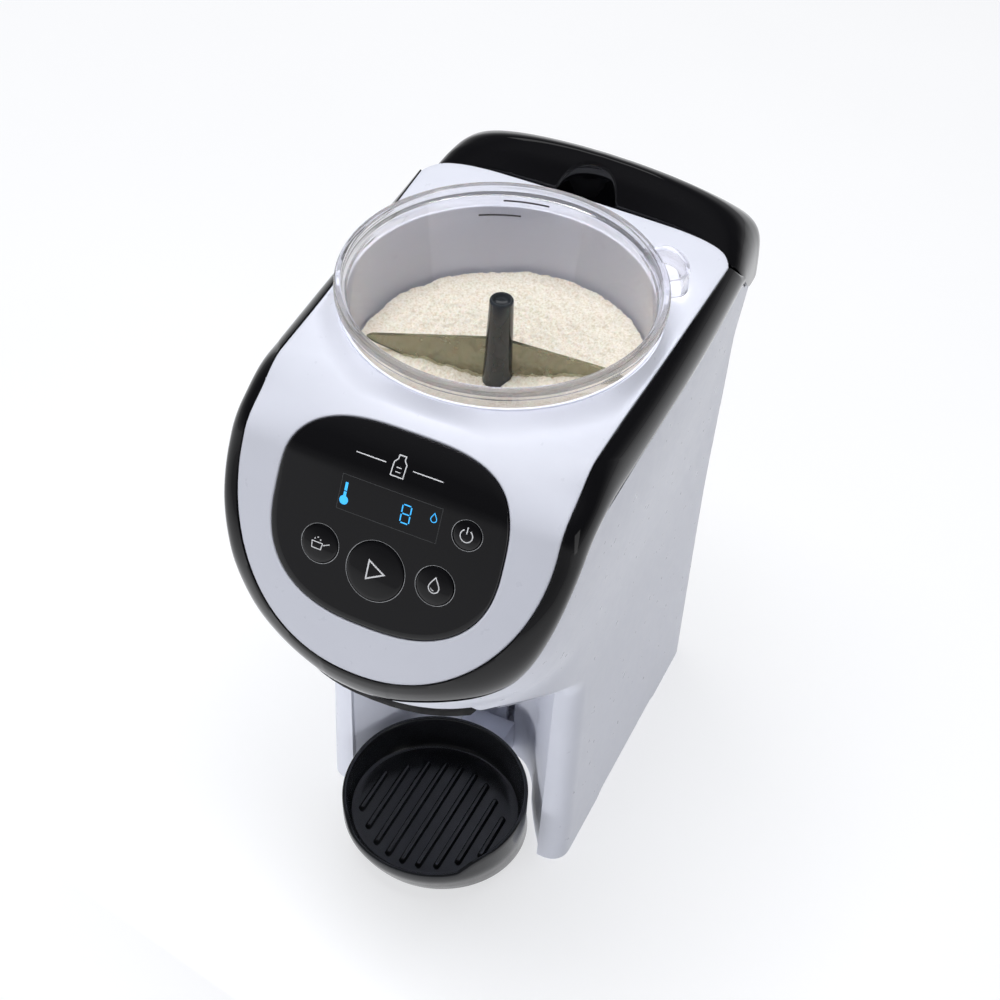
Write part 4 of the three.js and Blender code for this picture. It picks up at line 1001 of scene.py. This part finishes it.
def container_skins():
    well = Skin()
    outline = [(12.7, 256), (72.5, 256), (74.1, 325.5), (72.7, 325.5), (71.1, 258.4), (12.7, 258.4)]
    profile = soft(outline, 1.2)
    well.lathe([*profile, profile[0]], count=160)
    made = well.make("well_skin", "housing", "white_plastic", ["container_well"])
    bore(made, 9.4, 250, 262, centre=(0, FUNNEL_Y), count=40)

    cup = Skin()
    outline = [(10.4, 262), (66.4, 262), (66.4, 258.9), (70.4, 258.9), (72, 331), (76, 331.6)]
    outline += [(76, 337), (72.4, 337), (72.4, 334.6), (70, 331.6), (68.4, 264.4), (10.4, 264.4)]
    profile = soft(outline, [0, 0.8, 0.6, 0.9, 0.8, 0.9, 1.4, 0.9, 1.2, 1.2, 2, 0], 5)
    cup.lathe([*profile, profile[0]], count=192)
    made = cup.make("container_skin", "container", "clear_plastic", ["powder_container"], sharp=40)
    bore(made, 8.6, 250, 270, centre=(0, FUNNEL_Y), count=40)

    tab_skin()
    marks = Skin()
    for start, end, z in ((-39, -21, 322), (-29, -8, 330.4)):
        xs = np.linspace(start, end, 24)
        low, high = z - 0.45, z + 0.45
        ring = ((69.35, low), (69.35, high), (69.5, high), (69.5, low), (69.35, low))
        marks.grid([[(x, sqrt(r * r - x * x), z0) for x in xs] for r, z0 in ring])
    marks.make("level_marks", "container", "gloss_black_plastic", material=MARK)


def tab_outline(half, z):
    """Plan of the finger tab, built along +X and turned to its place."""
    start, bow, reach = 75.6, 0.6 * half, half + 76
    turns = [radians(lerp(-90, 90, i / 24)) for i in range(25)]
    nose = [(reach - bow + bow * cos(a), half * sin(a)) for a in turns]
    root = [(sqrt(start**2 - y * y), y) for y in np.linspace(half, -half, 13)]
    side = [(x, -half) for x in np.linspace(root[-1][0], nose[0][0], 6)[1:-1]]
    other = [(x, half) for x in np.linspace(nose[-1][0], root[0][0], 6)[1:-1]]
    turn = radians(42)
    return [
        (x * cos(turn) - y * sin(turn), x * sin(turn) + y * cos(turn), z)
        for x, y in root + side + nose + other
    ]


def tab_skin():
    skin = Skin()
    steps = [(10.8, 331.4), (11, 331), (11, 322.8), (11.3, 322.5), (12.7, 322.5)]
    steps += [(13, 322.8), (13, 332.6), (12.7, 333.3), (12.1, 333.5)]
    rings = [tab_outline(half, z) for half, z in steps]
    skin.grid(rings, wrap=True)
    skin.caps((rings[0], rings[-1]), inner=(0.5,))
    skin.make("tab_skin", "container", "clear_plastic", sharp=40)


BLADE_TURN = radians(14)
BLADE_LOW = Curve([(0, 273), (16, 274.5), (36, 281), (50, 287), (58, 289.8), (62.5, 292.2)])


def stirrer_skin():
    skin = Skin()
    profile = [(0, 255.8), (5.6, 255.8), (5.6, 264.8), (11.2, 264.8), (11.2, 272), (7.4, 274), (7, 279)]
    profile += [(5.6, 326.2), (5, 327), (4.1, 326.9), (3.2, 325.4), (0, 325)]
    skin.lathe(soft(profile, 0.5, 3), count=48)
    blades = Skin()
    c, s = cos(BLADE_TURN), sin(BLADE_TURN)
    for hand in (-1, 1):
        rows = []
        for x in [4, *np.linspace(6.5, 58, 20), 60, 61.4, 62.2, 62.5]:
            low, high = BLADE_LOW(x), lerp(303.4, 294.2, clamp((x - 5) / 56))
            high -= max(0, x - 60.5) * 0.6
            thick = 1.1 * min(1, max(0.25, (62.9 - x) / 2))
            outline = [(0, low), (thick, low), (thick, high), (-thick, high), (-thick, low), (0, low)]
            section = soft(outline, min(0.6, thick * 0.9), 2)
            rows.append([(hand * (x * c) - w * s, hand * (x * s) + w * c, z) for w, z in section[:-1]])
        blades.grid(rows, wrap=True)
        blades.caps((rows[0], rows[-1]))
    lugs = [(-9.4, -1.5), (9.4, -1.5), (9.4, 1.5), (-9.4, 1.5)]
    turned = [(x * c - y * s, x * s + y * c) for x, y in lugs]
    rings = [[(x, y, z) for x, y in turned] for z in (255.8, 259.8)]
    skin.grid([[(0, 0, 255.8)] * 4, *rings, [(0, 0, 259.8)] * 4], wrap=True)
    skin.make("stirrer_skin", "stirrer", "smoke_plastic", ["agitator"], material=SHAFT)
    blades.make("stirrer_blades", "stirrer", "smoke_plastic", material=BLADE)


def powder_height(x, y):
    r, a = hypot(x, y), atan2(y, x)
    ridge = 6.5 * max(0, cos(a - radians(25))) * (r / 68) ** 1.5
    back = 2.5 * max(0, sin(a)) * (r / 68)
    hollow = 7 * exp(-(((x + 4) / 24) ** 2) - ((y + 12) / 20) ** 2)
    z = 286 + ridge + back - hollow
    z += 1.6 * noise.noise((x / 17, y / 17, 3.1)) + 1.1 * noise.noise((x / 6, y / 6, 8.2))
    return z + 0.8 * noise.noise((x / 2.4, y / 2.4, 1.7)) + 0.5 * noise.noise((x / 1.1, y / 1.1, 5.5))


def powder_skin():
    skin = Skin()
    count, rings = 420, 120
    rows = []
    for k in range(rings + 1):
        r = 7.1 + (68.3 - 7.1) * k / rings
        ring = [(r * cos(a), r * sin(a)) for a in full_turn(count)]
        rows.append([(x, y, powder_height(x, y)) for x, y in ring])
    wall = [[(x * 0.998, y * 0.998, 272.4) for x, y, _ in rows[-1]]]
    core = [[(x, y, 275.6) for x, y, _ in rows[0]]]
    skin.grid([*rows, *wall, *core, rows[0]], wrap=True)
    skin.make("powder_heap", "stirrer", "powder", sharp=80)


# ---- tank lid

# y, half-width, height at the middle, and how far the middle stands above the sides
LID = Curve([
    (82, 84.5, 318, 0), (92, 84, 321.5, 0.5), (95, 83.8, 324, 2), (98, 83.5, 327.4, 5),
    (104, 82.6, 333.4, 10), (111, 81.6, 336, 12.4), (118, 80.6, 333.4, 10.6), (125, 79.6, 327.4, 7),
    (ARC_Y, 79, 322.5, 4.5), (135.5, 77.4, 316, 2), (139.9, 73, 311, 1), (REAR_Y, 67, 306, 0),
])
LID_BASE = 274
NOTCH_Y, NOTCH_R, NOTCH_FLOOR = 90, 16.4, 309


def lid_places():
    """Places across the lid's section, 0 to 1, closer at the ends of the finger notch."""
    edge = NOTCH_R / 205
    notch = 0.5 - edge * np.sin(np.radians(np.linspace(90, 0, 24)))
    half = [*np.linspace(0, 0.5 - edge, 76)[:-1], *notch]
    return np.array(half + [1 - place for place in half[-2::-1]])


LID_PLACES = lid_places()


def lid_profile(y):
    """Points (x, z) of the lid's section, above its lower edge."""
    half, high, crown = LID(y)
    low = SIDE_TOP(max(y, 98)) + GAP
    angles = np.radians(np.linspace(0, 180, 721))
    share = np.sign(np.cos(angles)) * np.abs(np.cos(angles)) ** (1 / 3)
    x = half * share
    z = LID_BASE + (high - crown - LID_BASE) * np.abs(np.sin(angles)) ** (1 / 3) + crown * (1 - share**2)
    keep = z >= low
    x, z = x[keep], z[keep]
    x = np.concatenate([[x[0]], x, [x[-1]]])
    z = np.concatenate([[low], z, [low]])
    lengths = np.concatenate([[0], np.cumsum(np.hypot(np.diff(x), np.diff(z)))])
    at = LID_PLACES * lengths[-1]
    return np.interp(at, lengths, x), np.interp(at, lengths, z)


def lid_front(x, z):
    plan = LID_LINE(abs(x)) + GAP
    cheek = 97.2 - 10.5 * (z - 298) / 25
    share = clamp((abs(x) - 77.6) / 1.6)
    notch = NOTCH_Y + sqrt(max(NOTCH_R**2 - x * x, 0))
    return max(notch, lerp(plan, max(plan, cheek), share))


def lid_z(x, y):
    half, high, crown = LID(y)
    arch = (high - crown - LID_BASE) * (1 - abs(x / half) ** 6) ** (1 / 6)
    return LID_BASE + arch + crown * (1 - (x / half) ** 2)


def lid_skin():
    table = {}

    def profile(y):
        """The section at y, between those of a table at every quarter millimetre."""
        low, high = floor(y * 4) / 4, ceil(y * 4) / 4
        for edge in (low, high):
            if edge not in table:
                table[edge] = lid_profile(edge)
        t = (y - low) / (high - low) if high > low else 0
        return tuple(lerp(a, b, t) for a, b in zip(table[low], table[high]))

    skin = Skin()
    fractions = [0, 0.006, 0.014, *(1 - (1 - k / 52) ** 1.5 for k in range(1, 53))]
    columns = []
    for i in range(len(LID_PLACES)):
        column = []
        for g in fractions:
            y = lerp(95.0, REAR_Y, g)
            for _ in range(5):
                xs, zs = profile(y)
                y = lerp(lid_front(xs[i], zs[i]), REAR_Y, g)
            xs, zs = profile(y)
            column.append((float(xs[i]), y, float(zs[i])))
        x, y, z = column[0]
        rim = [(x * 0.985, y, z - 3), (x * 0.995, y, z - 0.7)]
        column[0] = (x, y + 0.05, z - 0.35)
        x, y, z = column[1]
        column[1] = (x, y, z - 0.12)
        columns.append([*rim, *column])
    skin.grid(columns)
    end = [column[-1] for column in columns]
    caps = [[(x * f, REAR_Y, lerp(292, z, f)) for x, _, z in end] for f in (1, 0.985, 0.8, 0.4, 0)]
    skin.grid(caps)
    look = {"inside": (0, 115, 250), "thick": 2.2, "sharp": 48}
    skin.make("lid_skin", "lid", "gloss_black_plastic", ["tank_lid"], **look)
    notch_skin()


def notch_skin():
    """The finger notch's wall and floor."""
    skin = Skin()
    columns = []
    for angle in np.linspace(16, 164, 61):
        c, s = cos(radians(angle)), sin(radians(angle))
        top = lid_z(NOTCH_R * c, NOTCH_Y + NOTCH_R * s)
        path = [(17, top - 1.8), (16.8, top - 0.75), (16.3, top - 0.6), (16, top - 1)]
        path += [(16, lerp(top - 1, NOTCH_FLOOR + 2, t)) for t in (0.3, 0.6, 1)]
        path += [(r, NOTCH_FLOOR + up) for r, up in ((15.6, 0.8), (14.6, 0.2), (13.4, 0))]
        column = [(r * c, NOTCH_Y + r * s, z) for r, z in path]
        x, y, _ = column[-1]
        column += [(x, lerp(y, 94.5, t), NOTCH_FLOOR) for t in (0.4, 0.8, 1)]
        columns.append(column)
    skin.grid(columns)
    skin.make("lid_notch", "lid", "gloss_black_plastic", inside=(0, 115, 290), thick=1.2, sharp=50)


# ---- bottle side

TRAY = Curve([(3, -42, 46), (12, -46.5, 47), (22, -50, 48), (42, FUNNEL_Y, 48.4)])
TRAY_RIM = Curve([
    (-110, 25.5), (-92, 25.5), (-87.5, 26), (-84, 29.4), (-81, 31.9),
    (-76, 33.3), (-50, 36.6), (-20, 40), (0, 41),
])
TRAY_FLOOR, TRAY_BACK = 19.8, 17.2
RIB_REACH = 33.5


def tray_point(angle, z, inset):
    y, radius = TRAY(z)
    return (radius - inset) * cos(angle), y + (radius - inset) * sin(angle), z


def tray_skin():
    skin = Skin()
    turns = full_turn(240)
    columns = []
    for a in turns:
        rim = TRAY_RIM(TRAY(33)[0] + 48 * sin(a))
        path = [(TRAY_BACK, 2.8), (3.4, 2.4), (3, 2), (3, 0.5), (3.4, 0)]
        path += [(z, 0) for z in np.linspace(4.5, rim - 1.1, 14)]
        path += [(rim - 0.4, 0.25), (rim, 0.8), (rim, 1.6), (rim - 0.4, 2.15), (rim - 1.1, 2.4)]
        path += [(lerp(23, rim - 1.3, t), 2.4 + 0.9 * (1 - t)) for t in (0.95, 0.6, 0.3, 0)]
        path += [(21.3, 3.6), (20.3, 4.3), (TRAY_FLOOR, 5.6)]
        columns.append([tray_point(a, z, inset) for z, inset in path])
    skin.grid([*columns, columns[0]])
    centre_y, reach = TRAY(TRAY_FLOOR)
    # the floor: a ring from the wall's foot to a circle round the funnel's axis, and the disc inside it
    outer = [((reach - 5.6) * cos(a), centre_y + (reach - 5.6) * sin(a), TRAY_FLOOR) for a in turns]
    ring = [(39.5 * cos(a), FUNNEL_Y + 39.5 * sin(a), TRAY_FLOOR) for a in turns]
    skin.grid([outer, ring], wrap=True)
    skin.grid([ring, [(0, FUNNEL_Y, TRAY_FLOOR)] * len(turns)], wrap=True)
    for line in range(-4, 5):
        rib(skin, 8.6 * line)
    back = [tray_point(a, TRAY_BACK, 2.8) for a in turns]
    skin.grid([back, [(0, -49, TRAY_BACK)] * len(turns)], wrap=True)
    skin.make("tray_skin", "tray", "satin_black_plastic", ["drip_tray"], sharp=50)


def rib(skin, x):
    """A round-topped bar of the tray's floor, with round ends."""
    half = sqrt(RIB_REACH**2 - min(abs(x), RIB_REACH * 0.93) ** 2)
    ends = FUNNEL_Y + half - 1.5, FUNNEL_Y - half - 3
    turns = [(radians(180 * end + 15 * k), y) for end, y in enumerate(ends) for k in range(13)]
    section = [(1.95, -0.1), (1.75, 0.12), (1.52, 0.5), (1.42, 1.1), (1.2, 1.65), (0.75, 1.95), (0, 2.02)]
    rows = []
    for r, h in section:
        rows.append([(x + r * cos(a), y + r * sin(a), TRAY_FLOOR + h) for a, y in turns])
    skin.grid(rows, wrap=True)


def funnel_skin():
    cone = Skin()
    outline = [(33.6, 181.5), (9.6, 159.7), (7.4, 148.3), (9.4, 148.3)]
    outline += [(11.6, 158.3), (35.8, 179.9), (38.6, 179.9), (38.6, 181.5)]
    profile = soft(outline, 0.7)
    cone.lathe([*profile, profile[0]], (0, FUNNEL_Y), 96)
    cone.make("funnel_skin", "drawer", "clear_plastic", ["mixing_funnel"], sharp=40)


# ---- the CAD nodes that stay

for part in frame["record"]["subparts"]:
    node = frame["nodes"][part["node"]]
    node.data.materials.clear()
    node.data.materials.append(SLOTS[part["material_slot"]])
frame["nodes"]["funnel_drawer"].data.materials[0] = DRAWER
# the tray bracket takes the lighter white, painted light for the shaded recess
frame["nodes"]["tray_bracket"].data.materials[0] = BAY_PAINTED_FILL_WHITE

for build in (
    body_skin, bay_skin, slot_backing, face_skin, band_skin, panel_skin, button_skins, panel_marks,
    container_skins, stirrer_skin, powder_skin, lid_skin, tray_skin, funnel_skin,
):
    build()


def soften(node, width=0.35):
    """Small round edges and even shading on a CAD node that stays in view."""
    weld = node.modifiers.new("weld", "WELD")
    weld.merge_threshold = 0.00001
    edge = node.modifiers.new("edge", "BEVEL")
    edge.width = 0.001 * width
    edge.segments = 2
    edge.limit_method = "ANGLE"
    edge.angle_limit = radians(35)
    smooth(node, 30)


for name, node in frame["nodes"].items():
    if not node.hide_render:
        soften(node)

# ---- floor, light and background


def place_floor():
    mesh = bpy.data.meshes.new("floor")
    work = bmesh.new()
    bmesh.ops.create_grid(work, x_segments=8, y_segments=8, size=4)
    work.to_mesh(mesh)
    work.free()
    sheet = added("floor", mesh)
    n = Nodes("floor_paper_painted_glow")
    n.tint(n.noise(3, 3), "Fac", [(0.3, (0.34, 0.345, 0.355)), (0.7, (0.36, 0.365, 0.375))])
    n.set(Roughness=0.9, Specular_IOR_Level=0.1, Emission_Color=(0.98, 0.985, 1, 1))
    # Painted light: the floor glows to stay white, and glows more near the middle than at its edges, a
    # painted pool of light round the machine.
    apart = n.add("ShaderNodeVectorMath", operation="LENGTH")
    n.link(n.where, "Object", apart, "Vector")
    n.spread(apart, "Value", 0.67, 0.52, "Emission Strength", (0.8, 3.8))
    mesh.materials.append(n.material)


def lamp(name, place, target, size, power, diffuse=True, glossy=True):
    data = bpy.data.lights.new(name, "AREA")
    data.shape = "RECTANGLE"
    data.size, data.size_y = size
    data.energy = power
    light = added(name, data)
    light.location = place
    light.rotation_mode = "QUATERNION"
    light.rotation_quaternion = (Vector(target) - Vector(place)).to_track_quat("-Z", "Y")
    light.visible_diffuse = diffuse
    light.visible_glossy = glossy
    light.visible_camera = False


def light_scene():
    scene = bpy.context.scene
    scene.view_settings.view_transform = "Standard"
    scene.world = bpy.data.worlds.new("studio")
    n = Nodes("studio", scene.world, "World", "Background")
    split = n.add("ShaderNodeSeparateXYZ")
    n.link(n.where, "Generated", split, 0)
    greys = [(0.0, 0.42), (0.05, 0.36), (0.16, 0.2), (0.35, 0.08), (0.7, 0.08), (1.0, 0.2)]
    ramp = n.ramp(split, "Z", [(place, (v, v, v * 1.03)) for place, v in greys])
    n.link(ramp, "Color", n.shader, "Color")
    centre = (0, 0, 0.2)
    lamp("key", (-0.12, 0.02, 2.2), centre, (1.4, 1.4), 46, glossy=False)
    lamp("low", (-0.3, -1.0, 0.1), (0, 0, 0.08), (0.6, 0.16), 0.9, glossy=False)
    lamp("bay", (-0.05, -0.2, 0.03), (0, 0.02, 0.12), (0.2, 0.03), 0.14, glossy=False)
    lamp("right", (1.7, -0.7, 0.55), centre, (0.5, 1.2), 2, diffuse=False)
    lamp("rear", (-0.75, 1.6, 1.65), centre, (1.1, 0.5), 1.6, diffuse=False)


place_floor()
light_scene()
